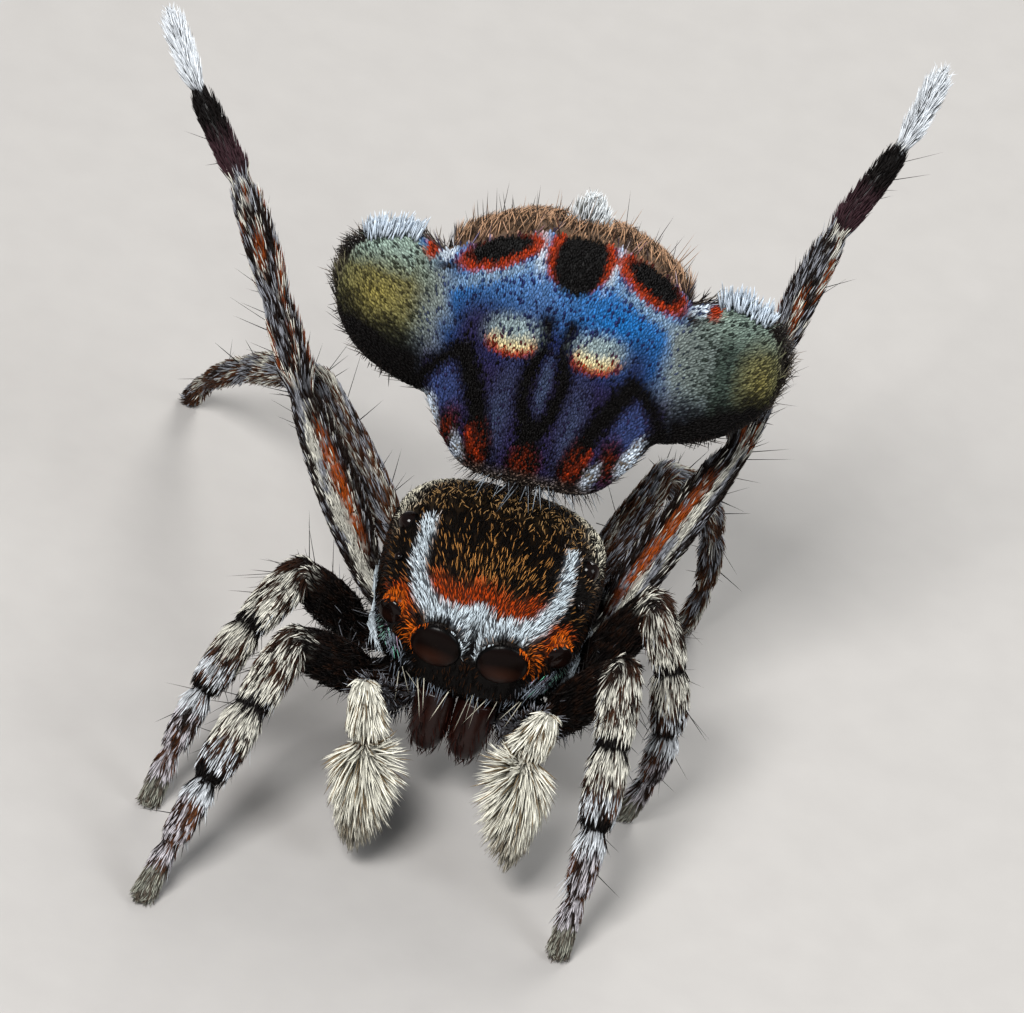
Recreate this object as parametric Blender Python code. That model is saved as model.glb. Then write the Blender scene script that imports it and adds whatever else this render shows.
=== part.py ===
# A male harris peacock spider in courtship display: the abdomen is raised with its fan
# open, the third legs are up, and six feet stand on the floor.
# Shapes are worked out in millimetres and turned into metres when a node is finished.
# The spider faces -Y, its left side is +X, and the floor is z = 0.

import math
import random

import bmesh
import bpy
from mathutils import Matrix, Vector

MM = 0.001
GAP = 0.02  # clearance between neighbouring pieces, mm
SEED = 7
# After a Boolean, points closer than the first (mm) and faces flatter than the second
# (degrees) are joined, by the first pair that leaves the surface closed
SLIVERS = ((0.004, 3.0), (0.002, 3.0), (0.001, 2.0), (0.001, 0.5), (0.0004, 1.0), (0.0004, 0.1),
           (0.0002, 0.01))

# Head and chest
CARAPACE_FRONT = -1.13
CARAPACE_REAR = 1.17
CARAPACE_FLOOR = 1.10
CARAPACE_SIDES = 24
HALF_WIDTH = ((0.0, 0.40), (0.07, 0.62), (0.17, 0.77), (0.36, 0.87), (0.60, 0.91), (0.78, 0.84),
              (0.92, 0.60), (1.0, 0.30))
ROOF = ((0.0, 1.62), (0.06, 1.86), (0.17, 2.00), (0.36, 2.11), (0.55, 2.17), (0.70, 2.12),
        (0.84, 1.92), (0.95, 1.62), (1.0, 1.42))
KEEL = ((0.0, 1.24), (0.10, 1.02), (0.5, 0.94), (0.9, 1.00), (1.0, 1.20))
SECTION_POWER = 2.7  # above 2, so the head is boxy in cross-section
# Whiskers of the face: how many, place along the head, from and to angle, length
FACE_ROWS = ((5, 0.025, 222, 318, 0.26), (3, 0.12, 196, 214, 0.24), (3, 0.12, 326, 344, 0.24))

# Eyes: name, centre and radius
EYES = (
    ("anterior_median", (0.270, -1.045, 1.650), 0.205, 3),
    ("anterior_lateral", (0.680, -0.800, 1.665), 0.115, 2),
    ("posterior_median", (0.752, -0.420, 1.890), 0.038, 2),
    ("posterior_lateral", (0.742, 0.000, 1.925), 0.095, 2),
)

# Underside
STERNUM_HALF_WIDTH = 0.42
STERNUM_HALF_LENGTH = 0.68
STERNUM_TOP = CARAPACE_FLOOR - GAP
STERNUM_DEPTH = 0.34
ENDITE = (0.21, -0.62, 0.88)  # the mouthpart each palp grows from
ENDITE_SIZE = (0.13, 0.20, 0.12)
CHELICERA_TOP = (0.175, -0.90)
CHELICERA_END = (0.150, -1.02, 0.56)
CHELICERA_RADIUS = 0.145

# Legs. A leg has its hip on the sternum's edge, the heading of its coxa in degrees forward,
# its knee and its foot, and how far the shank bows out at the ends of patella, tibia and
# metatarsus. Sizes are the lengths of patella, tibia, metatarsus and tarsus, then the radii
# of femur, patella, tibia, metatarsus and tarsus under the bristles.
COXA_LENGTH = 0.48
COXA_HEIGHT = 0.90
COXA_RADIUS = 0.155
FIRST = ((0.62, 0.68, 0.55, 0.56), (0.195, 0.158, 0.155, 0.112, 0.088))
SECOND = ((0.60, 0.66, 0.54, 0.52), (0.180, 0.148, 0.145, 0.106, 0.084))
THIRD = ((0.78, 0.99, 0.80, 0.62), (0.180, 0.132, 0.128, 0.100, 0.072))
FOURTH = ((0.60, 0.76, 0.74, 0.50), (0.170, 0.134, 0.126, 0.094, 0.078))
LEGS = (
    ("leg_1_right", (-0.38, -0.45), 45, (-1.38, -1.40, 1.55), (-2.00, -3.18, 0.0),
     (0.05, 0.07, 0.05), FIRST),
    ("leg_1_left", (0.38, -0.45), 45, (1.23, -0.95, 1.80), (1.32, -2.49, 0.0), (0.09, 0.12, 0.08),
     FIRST),
    ("leg_2_right", (-0.42, -0.12), 15, (-1.49, -0.58, 1.60), (-2.17, -2.01, 0.0),
     (0.14, 0.18, 0.12), SECOND),
    ("leg_2_left", (0.42, -0.12), 15, (1.32, -0.22, 1.98), (1.55, -0.56, 0.0), (0.22, 0.28, 0.19),
     SECOND),
    ("leg_3_right", (-0.42, 0.22), -15, (-1.87, 0.95, 2.15), (-3.69, 2.45, 4.34),
     (0.05, 0.09, 0.01), THIRD),
    ("leg_3_left", (0.42, 0.22), -15, (1.65, 1.10, 2.67), (2.43, 3.08, 5.36), (0.10, 0.13, 0.01),
     THIRD),
    ("leg_4_right", (-0.38, 0.52), -45, (-1.71, 1.60, 1.79), (-2.86, 3.25, 0.0),
     (0.16, 0.22, 0.15), FOURTH),
    ("leg_4_left", (0.38, 0.52), -45, (1.14, 1.62, 1.82), (1.66, 2.00, 0.0), (0.32, 0.42, 0.29),
     FOURTH),
)
RAISED = ("leg_3_right", "leg_3_left")
SHARP_KNEES = ("leg_1_left", "leg_2_left")
LEG_SIDES = 8
# Along each segment: place from its root to its end, and share of the segment's radius
FEMUR_SHAPE = ((0.10, 0.78), (0.35, 1.0), (0.65, 0.98), (0.88, 0.80))
PATELLA_SHAPE = ((0.22, 0.98), (0.62, 1.0), (0.88, 0.90))
TIBIA_SHAPE = ((0.14, 0.94), (0.5, 1.0), (0.86, 0.88))
METATARSUS_SHAPE = ((0.16, 1.0), (0.6, 1.0), (0.88, 0.90))
TARSUS_SHAPE = ((0.18, 0.92), (0.55, 1.0), (0.86, 0.98), (1.0, 0.72))
FEMUR_FLATTEN = 0.84  # femurs are deeper than they are wide

# Bristle locks. A row is its place along its node, how many locks it has, the angle round
# the leg of its middle (90 is inside the bend) and how far round it reaches, then the
# locks' length, width and lift in degrees.
LOCK_THICKNESS = 0.035
LOCK_ROOT = 0.05  # how deep a root sits under the skin
SHAGGY = {
    "femur": ((0.52, 3, 90, 180, 0.36, 0.17, 32), (0.74, 2, 90, 130, 0.32, 0.17, 30)),
    "shank": ((0.10, 4, 270, 360, 0.34, 0.16, 27), (0.40, 3, 300, 360, 0.34, 0.17, 27),
              (0.70, 4, 270, 360, 0.34, 0.15, 27)),
    "foot": ((0.05, 3, 90, 240, 0.30, 0.13, 26), (0.36, 3, 270, 360, 0.28, 0.13, 26),
             (0.70, 3, 90, 240, 0.24, 0.11, 26)),
}
TRIM = {
    "femur": ((0.62, 4, 90, 220, 0.34, 0.15, 28),),
    "shank": ((0.20, 3, 270, 300, 0.32, 0.14, 24), (0.66, 4, 90, 360, 0.32, 0.14, 24)),
    "foot": ((0.24, 3, 270, 360, 0.28, 0.11, 23), (0.66, 3, 90, 360, 0.24, 0.10, 23)),
}
BRUSHED = {
    "femur": ((0.42, 3, 270, 180, 0.38, 0.17, 31), (0.70, 4, 270, 260, 0.36, 0.17, 29)),
    "shank": ((0.12, 4, 270, 360, 0.36, 0.16, 25), (0.56, 4, 315, 360, 0.36, 0.16, 25)),
    "foot": ((0.12, 4, 270, 360, 0.36, 0.15, 25), (0.53, 4, 270, 360, 0.32, 0.14, 27),
             (0.71, 4, 315, 360, 0.30, 0.12, 25)),
}
FOLDED = {
    "femur": ((0.50, 3, 270, 170, 0.34, 0.16, 27), (0.72, 2, 270, 90, 0.32, 0.16, 27)),
    "shank": ((0.12, 3, 270, 200, 0.34, 0.16, 25), (0.40, 3, 290, 300, 0.34, 0.16, 25),
              (0.70, 4, 270, 360, 0.34, 0.15, 27)),
    "foot": SHAGGY["foot"],
}
COATS = {"1": SHAGGY, "2": SHAGGY, "3": BRUSHED, "4": TRIM}

# Palps: mouth side, knee and white brush
PALPS = (
    ("palp_right", -1, (0.30, -0.66, 0.90), (0.73, -1.50, 1.36), (0.61, -1.70, 1.00), (0.52, -2.08, 0.30)),
    ("palp_left", 1, (0.30, -0.66, 0.90), (0.73, -1.42, 1.46), (0.66, -1.56, 1.17), (0.735, -2.00, 0.46)),
)
PALP_ARM_RADIUS = 0.095
BRUSH_RADIUS = 0.165  # under the bristles
BRUSH_SHAPE = ((0.0, 0.45), (0.07, 0.70), (0.18, 0.80), (0.28, 0.86), (0.36, 0.78), (0.46, 1.0),
               (0.60, 1.05), (0.76, 0.86), (0.90, 0.56), (1.0, 0.22))
# Rows of bristles as for the legs. The upper two leave the back free, where the arm joins.
BRUSH_ROWS = (
    (0.08, 5, 270, 250, 0.36, 0.14, 26),
    (0.22, 5, 270, 250, 0.32, 0.17, 38),
    (0.40, 7, 270, 360, 0.50, 0.17, 28),
    (0.58, 6, 270, 360, 0.48, 0.16, 25),
    (0.77, 4, 270, 360, 0.40, 0.13, 21),
)

# Raised abdomen, seen from the side: front and back lines as (y, z), and half widths, at
# places from its lower (front) end to its upper (spinneret) end
FAN_FRONT = ((0.0, 0.62, 2.24), (0.06, 0.32, 2.33), (0.2, 0.20, 2.62), (0.4, 0.30, 3.12), (0.6, 0.46, 3.62),
             (0.78, 0.66, 4.06), (0.90, 0.92, 4.38), (0.96, 1.13, 4.42), (1.0, 1.32, 4.30))
FAN_BACK = ((0.0, 0.86, 2.19), (0.06, 1.15, 2.16), (0.2, 1.52, 2.40), (0.4, 1.76, 2.95), (0.6, 1.80, 3.45),
            (0.78, 1.74, 3.86), (0.90, 1.66, 4.08), (0.96, 1.60, 4.16), (1.0, 1.50, 4.22))
FAN_WIDTH = ((0.0, 0.18), (0.06, 0.47), (0.2, 0.74), (0.34, 0.95), (0.42, 1.05), (0.6, 1.08),
             (0.78, 1.05), (0.84, 0.92), (0.92, 0.60), (1.0, 0.20))
ABDOMEN_SIDES = 26
PLATE_EDGE = 0.97
PLATE_SETBACK = 0.17  # share of the depth where the abdomen is widest
FAN_TILT = -3.5  # degrees about Y, through the fan's middle
FAN_MIDDLE = (0.0, 0.0, 3.5)
# Flaps, from root to outer edge: x, lower edge, upper edge, set back, half thickness
FLAP = ((0.99, 2.96, 4.12, 0.00, 0.115), (1.15, 3.00, 4.17, 0.00, 0.125), (1.35, 3.06, 4.18, 0.02, 0.130),
        (1.55, 3.16, 4.12, 0.06, 0.125), (1.70, 3.28, 4.03, 0.13, 0.110),
        (1.80, 3.41, 3.91, 0.21, 0.085), (1.86, 3.56, 3.76, 0.30, 0.045))
FLAP_CROWN = 0.13
FLAP_SIDES = 16
# Fringes, as places round the flap's rim from its upper root (0) to its lower root (1)
# as how many locks, first and last place, length, width, and how far they lean up or down
FLAP_FRINGES = ((7, 0.06, 0.30, 0.27, 0.15, 0.7), (7, 0.42, 0.80, 0.28, 0.17, -0.9))


def clear_scene():
    for obj in list(bpy.data.objects):
        bpy.data.objects.remove(obj, do_unlink=True)


def material(name, colour, roughness, metallic=0.0):
    made = bpy.data.materials.new(name)
    made.use_nodes = True
    shader = made.node_tree.nodes["Principled BSDF"]
    shader.inputs["Base Color"].default_value = (*colour, 1.0)
    shader.inputs["Roughness"].default_value = roughness
    shader.inputs["Metallic"].default_value = metallic
    return made


def profile(points, place):
    """Value of a smooth curve through (place, value) pairs."""
    places = [p[0] for p in points]
    values = [p[1] for p in points]
    if place <= places[0]:
        return values[0]
    if place >= places[-1]:
        return values[-1]
    k = max(i for i in range(len(places) - 1) if places[i] <= place)
    slopes = []
    for i in (k, k + 1):
        low, high = max(i - 1, 0), min(i + 1, len(places) - 1)
        slopes.append((values[high] - values[low]) / (places[high] - places[low]))
    step = places[k + 1] - places[k]
    t = (place - places[k]) / step
    return ((2 * t**3 - 3 * t**2 + 1) * values[k] + (t**3 - 2 * t**2 + t) * step * slopes[0]
            + (3 * t**2 - 2 * t**3) * values[k + 1] + (t**3 - t**2) * step * slopes[1])


def signed_power(value, power):
    return math.copysign(abs(value) ** power, value)


def new_object(name, bm, finish):
    bmesh.ops.recalc_face_normals(bm, faces=bm.faces)
    bmesh.ops.triangulate(bm, faces=bm.faces)
    mesh = bpy.data.meshes.new(name)
    bm.to_mesh(mesh)
    bm.free()
    obj = bpy.data.objects.new(name, mesh)
    bpy.context.scene.collection.objects.link(obj)
    if finish:
        mesh.materials.append(finish)
    return obj


def loft(name, rings, finish=None):
    """A closed body through rings of equally many points, with a fan closing each end."""
    count = len(rings[0])
    bm = bmesh.new()
    loops = [[bm.verts.new(p) for p in ring] for ring in rings]
    for lower, upper in zip(loops, loops[1:]):
        for i in range(count):
            j = (i + 1) % count
            bm.faces.new((lower[i], lower[j], upper[j], upper[i]))
    for loop in (loops[0], loops[-1]):
        centre = bm.verts.new(sum((v.co for v in loop), Vector()) / count)
        for i in range(count):
            bm.faces.new((loop[i], loop[(i + 1) % count], centre))
    return new_object(name, bm, finish)


def ring(centre, across, outward, radius, sides, flatten=1.0, floor=None):
    points = []
    for i in range(sides):
        turn = 2 * math.pi * i / sides
        point = centre + across * (radius * flatten * math.cos(turn)) + outward * (radius * math.sin(turn))
        if floor is not None:
            point.z = max(point.z, floor)
        points.append(point)
    return points


def swollen(obj, by):
    """A copy of the object grown along its normals, to cut a clearance with."""
    copy = obj.copy()
    copy.data = obj.data.copy()
    bpy.context.scene.collection.objects.link(copy)
    normals = [v.normal.copy() for v in copy.data.vertices]
    for vertex, normal in zip(copy.data.vertices, normals):
        vertex.co += normal * by
    return copy


def apply_boolean(obj, operation, others):
    group = bpy.data.collections.new(obj.name + "_joined")
    bpy.context.scene.collection.children.link(group)
    for other in others:
        group.objects.link(other)
    modifier = obj.modifiers.new("Join", "BOOLEAN")
    modifier.operation = operation
    modifier.operand_type = "COLLECTION"
    modifier.collection = group
    modifier.solver = "MANIFOLD"
    bpy.context.view_layer.update()
    graph = bpy.context.evaluated_depsgraph_get()
    joined = bpy.data.meshes.new_from_object(obj.evaluated_get(graph))
    obj.modifiers.clear()
    old = obj.data
    obj.data = joined
    bpy.data.meshes.remove(old)
    for other in others:
        bpy.data.objects.remove(other, do_unlink=True)
    bpy.data.collections.remove(group)


def keep_largest(obj):
    """Leaves only the largest connected closed surface of the object."""
    bm = bmesh.new()
    bm.from_mesh(obj.data)
    bmesh.ops.triangulate(bm, faces=bm.faces)
    left = set(bm.faces)
    shells = []
    while left:
        stack = [left.pop()]
        shell = set(stack)
        while stack:
            for edge in stack.pop().edges:
                for face in edge.link_faces:
                    if face in left:
                        left.remove(face)
                        shell.add(face)
                        stack.append(face)
        shells.append(shell)
    shells.sort(key=lambda faces: sum(f.calc_area() for f in faces))
    for shell in shells[:-1]:
        bmesh.ops.delete(bm, geom=list(shell), context="FACES")
    loose = [v for v in bm.verts if not v.link_faces]
    bmesh.ops.delete(bm, geom=loose, context="VERTS")
    bm.to_mesh(obj.data)
    bm.free()


def closed_surface(bm):
    """Whether each edge has two faces, and the faces round each point are one fan."""
    return all(edge.is_manifold for edge in bm.edges) and all(vert.is_manifold for vert in bm.verts)


def simplify(obj):
    """Joins the slivers that a Boolean leaves, as far as the surface stays closed."""
    for weld, angle in SLIVERS:
        bm = bmesh.new()
        bm.from_mesh(obj.data)
        bmesh.ops.remove_doubles(bm, verts=bm.verts, dist=weld)
        bmesh.ops.dissolve_limit(bm, angle_limit=math.radians(angle), verts=bm.verts, edges=bm.edges)
        bmesh.ops.triangulate(bm, faces=bm.faces)
        bmesh.ops.remove_doubles(bm, verts=bm.verts, dist=SLIVERS[-1][0])
        closed = closed_surface(bm)
        if closed:
            bm.to_mesh(obj.data)
        bm.free()
        if closed:
            return


def fuse(obj, pieces):
    apply_boolean(obj, "UNION", pieces)
    keep_largest(obj)
    simplify(obj)
    return obj


def clear_of(obj, neighbours, gap=GAP):
    """Cuts the object back from its neighbours, leaving the gap between them."""
    apply_boolean(obj, "DIFFERENCE", [swollen(n, gap) for n in neighbours])
    keep_largest(obj)
    simplify(obj)
    return obj


def lock(root, heading, outward, length, width, curl=-0.25, floor=None):
    """A flat, tapered, bent lock of bristles, as a closed mesh. Its curl bends the tip
    along the outward direction, as a share of its length."""
    heading = heading.normalized()
    side = heading.cross(outward).normalized()
    rings = []
    for place, share in ((0.0, 0.60), (0.38, 1.0), (0.74, 0.68)):
        centre = root + heading * (length * place) + outward * (curl * length * place * place)
        along = (heading + outward * (2 * curl * place)).normalized()
        rise = side.cross(along)
        half = side * (width * share / 2)
        rings.append([centre - half, centre + half, centre + rise * (LOCK_THICKNESS * share)])
    tip = root + heading * length + outward * (curl * length)
    bm = bmesh.new()
    loops = []
    for points in rings:
        if floor is not None:
            points = [Vector((p.x, p.y, max(p.z, floor))) for p in points]
        loops.append([bm.verts.new(p) for p in points])
    if floor is not None:
        tip.z = max(tip.z, floor)
    point = bm.verts.new(tip)
    for lower, upper in zip(loops, loops[1:]):
        for i in range(3):
            bm.faces.new((lower[i], lower[(i + 1) % 3], upper[(i + 1) % 3], upper[i]))
    for i in range(3):
        bm.faces.new((loops[-1][i], loops[-1][(i + 1) % 3], point))
    bm.faces.new(loops[0])
    return new_object("lock", bm, None)


def rows_of_locks(stations, rows, floor=None):
    """Locks in rows round a node, whose stations are (centre, along, side, inward, radius)."""
    travelled = [0.0]
    for before, after in zip(stations, stations[1:]):
        travelled.append(travelled[-1] + (after[0] - before[0]).length)
    locks = []
    for place, count, middle, reach, length, width, lift in rows:
        target = place * travelled[-1]
        k = max(i for i in range(len(stations) - 1) if travelled[i] <= target)
        t = (target - travelled[k]) / (travelled[k + 1] - travelled[k])
        centre, along, side, inward = (stations[k][j].lerp(stations[k + 1][j], t) for j in range(4))
        radius = stations[k][4] * (1 - t) + stations[k + 1][4] * t
        for i in range(count):
            share = i / count - 0.5 + 0.5 / count
            turn = math.radians(middle + reach * share + random.uniform(-9, 9))
            outward = (side * math.cos(turn) + inward * math.sin(turn)).normalized()
            root = centre + outward * (radius - LOCK_ROOT) + along * random.uniform(-0.04, 0.04)
            rise = math.radians(lift + random.uniform(-4, 4))
            sway = outward.cross(along) * random.uniform(-0.10, 0.10)
            heading = along * math.cos(rise) + outward * math.sin(rise) + sway
            own_length = length * random.uniform(0.88, 1.12)
            locks.append(lock(root, heading, outward, own_length, width, -0.12, floor))
    return locks


def head_point(place, turn):
    """A point on the carapace: its place from front (0) to rear (1), and the angle round it."""
    half = profile(HALF_WIDTH, place)
    roof, keel = profile(ROOF, place), profile(KEEL, place)
    x = half * signed_power(math.cos(turn), 2 / SECTION_POWER)
    z = (roof + keel) / 2 + (roof - keel) / 2 * signed_power(math.sin(turn), 2 / SECTION_POWER)
    y = CARAPACE_FRONT + (CARAPACE_REAR - CARAPACE_FRONT) * place
    return Vector((x, y, max(z, CARAPACE_FLOOR)))


def build_carapace(finish):
    rings = []
    for place in (0.0, 0.02, 0.05, 0.10, 0.17, 0.25, 0.34, 0.44, 0.54, 0.64, 0.73, 0.81, 0.88, 0.94, 1.0):
        turns = [2 * math.pi * (i + 0.5) / CARAPACE_SIDES for i in range(CARAPACE_SIDES)]
        rings.append([head_point(place, turn) for turn in turns])
    carapace = loft("carapace", rings, finish)
    locks = []
    for count, place, low, high, length in FACE_ROWS:
        for i in range(count):
            turn = math.radians(low + (high - low) * i / (count - 1))
            at = head_point(place, turn)
            outward = Vector((at.x, at.y * 0.6, (at.z - 1.5) * 0.3)).normalized()
            sway = Vector((random.uniform(-0.1, 0.1), 0, 0))
            heading = outward * 0.55 + Vector((0.0, -0.30, -0.75)) + sway
            locks.append(lock(at - outward * LOCK_ROOT, heading, outward, length, 0.12, 0.0))
    return fuse(carapace, locks)


def ball(name, centre, radius, detail, finish):
    bm = bmesh.new()
    bmesh.ops.create_icosphere(bm, subdivisions=detail, radius=radius, matrix=Matrix.Translation(centre))
    return new_object(name, bm, finish)


def build_sternum(finish):
    rings = []
    for drop, share in ((0.0, 0.94), (0.06, 1.0), (0.20, 0.97), (0.30, 0.75), (1.0 * STERNUM_DEPTH, 0.30)):
        rings.append([Vector((STERNUM_HALF_WIDTH * share * math.cos(2 * math.pi * i / 18),
                              0.03 + STERNUM_HALF_LENGTH * share * math.sin(2 * math.pi * i / 18),
                              STERNUM_TOP - drop)) for i in range(18)])
    endites = []
    for side in (-1, 1):
        centre = Vector((side * ENDITE[0], ENDITE[1], ENDITE[2]))
        lobe = ball("endite", (0, 0, 0), 1.0, 2, None)
        lobe.data.transform(Matrix.Translation(centre) @ Matrix.Diagonal((*ENDITE_SIZE, 1.0)))
        endites.append(lobe)
    return fuse(loft("sternum", rings, finish), endites)


def build_chelicera(side, finish):
    top = Vector((side * CHELICERA_TOP[0], CHELICERA_TOP[1], STERNUM_TOP))
    end = Vector((side * CHELICERA_END[0], CHELICERA_END[1], CHELICERA_END[2]))
    rings = []
    for place, share in ((0.0, 1.0), (0.15, 1.04), (0.45, 1.0), (0.75, 0.82), (0.93, 0.55), (1.0, 0.25)):
        centre = top.lerp(end, place)
        rings.append(ring(centre, Vector((1, 0, 0)), Vector((0, 1, 0)), CHELICERA_RADIUS * share, 12))
    return loft("chelicera_" + ("left" if side > 0 else "right"), rings, finish)


def leg_stations(hip, heading, knee, foot, bow, sizes, raised):
    """The leg's centres with radius and flattening, from coxa to claw, and the places where
    it is parted: after the femur and after the tibia."""
    lengths, radii = sizes
    side = 1 if hip[0] > 0 else -1
    start = Vector((hip[0], hip[1], COXA_HEIGHT))
    turn = math.radians(heading)
    trochanter = start + Vector((side * math.cos(turn), -math.sin(turn), 0)) * COXA_LENGTH
    knee = Vector(knee)
    foot = Vector(foot)
    chord = foot - knee
    outward = Vector((knee.x, knee.y, 0)).normalized() * 0.6 + Vector((0, 0, 0.8))
    if raised:
        outward = Vector((-side, 0, 0.2))
    bulge = (outward - chord * (outward.dot(chord) / chord.length_squared)).normalized()
    joints = [sum(lengths[:i]) / sum(lengths) for i in range(5)]
    bows = list(zip(joints, (0.0, *bow, 0.0)))

    def shank(place):
        return knee + chord * place + bulge * profile(bows, place)

    stations = [(start - (trochanter - start).normalized() * 0.12, COXA_RADIUS * 0.9, 1.0),
                (start.lerp(trochanter, 0.35), COXA_RADIUS, 1.0),
                (start.lerp(trochanter, 0.8), COXA_RADIUS * 0.95, 1.0)]
    for place, share in FEMUR_SHAPE:
        stations.append((trochanter.lerp(knee, place), radii[0] * share, FEMUR_FLATTEN))
    parts = [len(stations)]
    stations.append((knee, radii[1] * 0.80, 0.95))
    for k, shape in enumerate((PATELLA_SHAPE, TIBIA_SHAPE, METATARSUS_SHAPE, TARSUS_SHAPE)):
        low, high = joints[k], joints[k + 1]
        for place, share in shape:
            stations.append((shank(low + (high - low) * place), radii[k + 1] * share, 1.0))
        if k < 3:
            if k == 1:
                parts.append(len(stations))
            stations.append((shank(high), min(radii[k + 1], radii[k + 2]) * 0.80, 1.0))
    return stations, parts


def build_leg(spec, finish):
    name, hip, heading, knee, foot, bow, sizes = spec
    raised = name in RAISED
    stations, parts = leg_stations(hip, heading, knee, foot, bow, sizes, raised)
    centres = [s[0] for s in stations]
    coat = FOLDED if name in SHARP_KNEES else COATS[name.split("_")[1]]
    across = (Vector(knee) - centres[1]).cross(Vector(foot) - Vector(knee)).normalized()
    floor = None if raised else 0.0
    frames = []
    for i, centre in enumerate(centres):
        behind = centres[max(i - 1, 0)]
        ahead = centres[min(i + 1, len(centres) - 1)]
        along = ((centre - behind).normalized() + (ahead - centre).normalized()).normalized()
        side = (across - along * across.dot(along)).normalized()
        frames.append((along, side, side.cross(along)))  # the last points inside the bend
    nodes = []
    bounds = [0, *parts, len(stations) - 1]
    for k, label in enumerate(("femur", "shank", "foot")):
        first, last = bounds[k], bounds[k + 1]
        rings = []
        spine = []
        for i in range(first, last + 1):
            centre, radius, flatten = stations[i]
            along, side, inward = frames[i]
            if i == first and k > 0:
                centre = centre + along * (GAP / 2)
            if i == last and k < 2:
                centre = centre - along * (GAP / 2)
            rings.append(ring(centre, side, inward, radius, LEG_SIDES, flatten, floor))
            spine.append((centre, along, side, inward, radius * flatten))
        if label == "foot" and not raised:
            for point in rings[-1]:
                point.z = 0.0
        node = loft(f"{name}_{label}", rings, finish)
        nodes.append((node, rows_of_locks(spine, coat[label], None if raised else 0.012)))
    return nodes


def build_palp(spec, arm_finish, brush_finish):
    name, side, mouth, knee, waist, tip = spec
    mouth, knee, waist, tip = (Vector((side * p[0], p[1], p[2])) for p in (mouth, knee, waist, tip))
    across = Vector((1, 0, 0))
    bend = mouth + Vector((side * 0.20, -0.30, -0.02))
    path = [(mouth, 0.9), (mouth.lerp(bend, 0.5), 1.0), (bend, 1.0),
            (bend.lerp(knee, 0.5), 1.05), (bend.lerp(knee, 0.86), 1.0)]
    rings = []
    for i, (centre, share) in enumerate(path):
        behind = path[max(i - 1, 0)][0]
        ahead = path[min(i + 1, len(path) - 1)][0]
        along = (ahead - behind).normalized()
        wide = (across - along * across.dot(along)).normalized()
        rings.append(ring(centre, wide, wide.cross(along), PALP_ARM_RADIUS * share, LEG_SIDES))
    arm = loft(name + "_arm", rings, arm_finish)
    top = knee + (knee - waist).normalized() * 0.06
    rings = []
    spine = []
    for place, share in BRUSH_SHAPE:
        if place < 0.36:
            centre = top.lerp(waist, place / 0.36)
        else:
            centre = waist.lerp(tip, (place - 0.36) / 0.64)
        along = (tip - top).normalized()
        wide = (across - along * across.dot(along)).normalized()
        rings.append(ring(centre, wide, wide.cross(along), BRUSH_RADIUS * share, 12))
        spine.append((centre, along, wide, wide.cross(along), BRUSH_RADIUS * share))
    brush = loft(name + "_brush", rings, brush_finish)
    return arm, brush, rows_of_locks(spine, BRUSH_ROWS, 0.03)


def tilt_fan(obj):
    """Turns a piece of the raised abdomen by the fan's slight tilt."""
    pivot = Matrix.Translation(Vector(FAN_MIDDLE))
    turn = Matrix.Rotation(math.radians(FAN_TILT), 4, "Y")
    obj.data.transform(pivot @ turn @ Matrix.Translation(Vector((0, 0, -FAN_MIDDLE[2]))))
    return obj


def fan_line(line, place):
    depth = profile([(p[0], p[1]) for p in line], place)
    height = profile([(p[0], p[2]) for p in line], place)
    return Vector((0, depth, height))


def build_abdomen(finish):
    rings = []
    for place in (0.0, 0.03, 0.07, 0.13, 0.2, 0.27, 0.34, 0.42, 0.50,
                  0.58, 0.66, 0.73, 0.79, 0.84, 0.89, 0.93, 0.97, 1.0):
        front, back = fan_line(FAN_FRONT, place), fan_line(FAN_BACK, place)
        half = profile(FAN_WIDTH, place)
        loop = []
        for i in range(ABDOMEN_SIDES):
            turn = 2 * math.pi * i / ABDOMEN_SIDES
            wide, deep = math.cos(turn), math.sin(turn)
            power = 2 / 3.0 if deep < 0 else 2 / 2.2
            x = half * signed_power(wide, power)
            if deep < 0:
                depth = PLATE_SETBACK * (1 - abs(deep) ** power)
            else:
                depth = PLATE_SETBACK + (1 - PLATE_SETBACK) * deep**power
            point = front.lerp(back, depth)
            point.x = max(-PLATE_EDGE, min(PLATE_EDGE, x))
            loop.append(point)
        rings.append(loop)
    abdomen = loft("abdomen", rings, finish)
    return tilt_fan(abdomen)


def flap_rim(side, place):
    """A point of the flap's rim, from its upper root (0) round to its lower root (1), and
    the direction away from the flap's middle."""
    outer = FLAP[-1][0]
    inner = FLAP[0][0]
    reach = math.sin(math.pi * place)
    x = inner + (outer - inner) * min(1.0, reach * 1.0)
    edge = 2 if place < 0.5 else 1
    z = profile([(row[0], row[edge]) for row in FLAP], x)
    back = profile([(row[0], row[3]) for row in FLAP], x)
    y = plate_y(z) + 0.14 + back * 0.85 + 0.08
    middle = Vector((side * 1.30, y, (FLAP[2][1] + FLAP[2][2]) / 2))
    at = Vector((side * x, y, z))
    return at, (at - middle).normalized()


def plate_y(z):
    """Depth of the fan's front at a height, read from the abdomen's front line."""
    low, high = FAN_FRONT[3], FAN_FRONT[5]
    return low[1] + (high[1] - low[1]) * (z - low[2]) / (high[2] - low[2])


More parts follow.
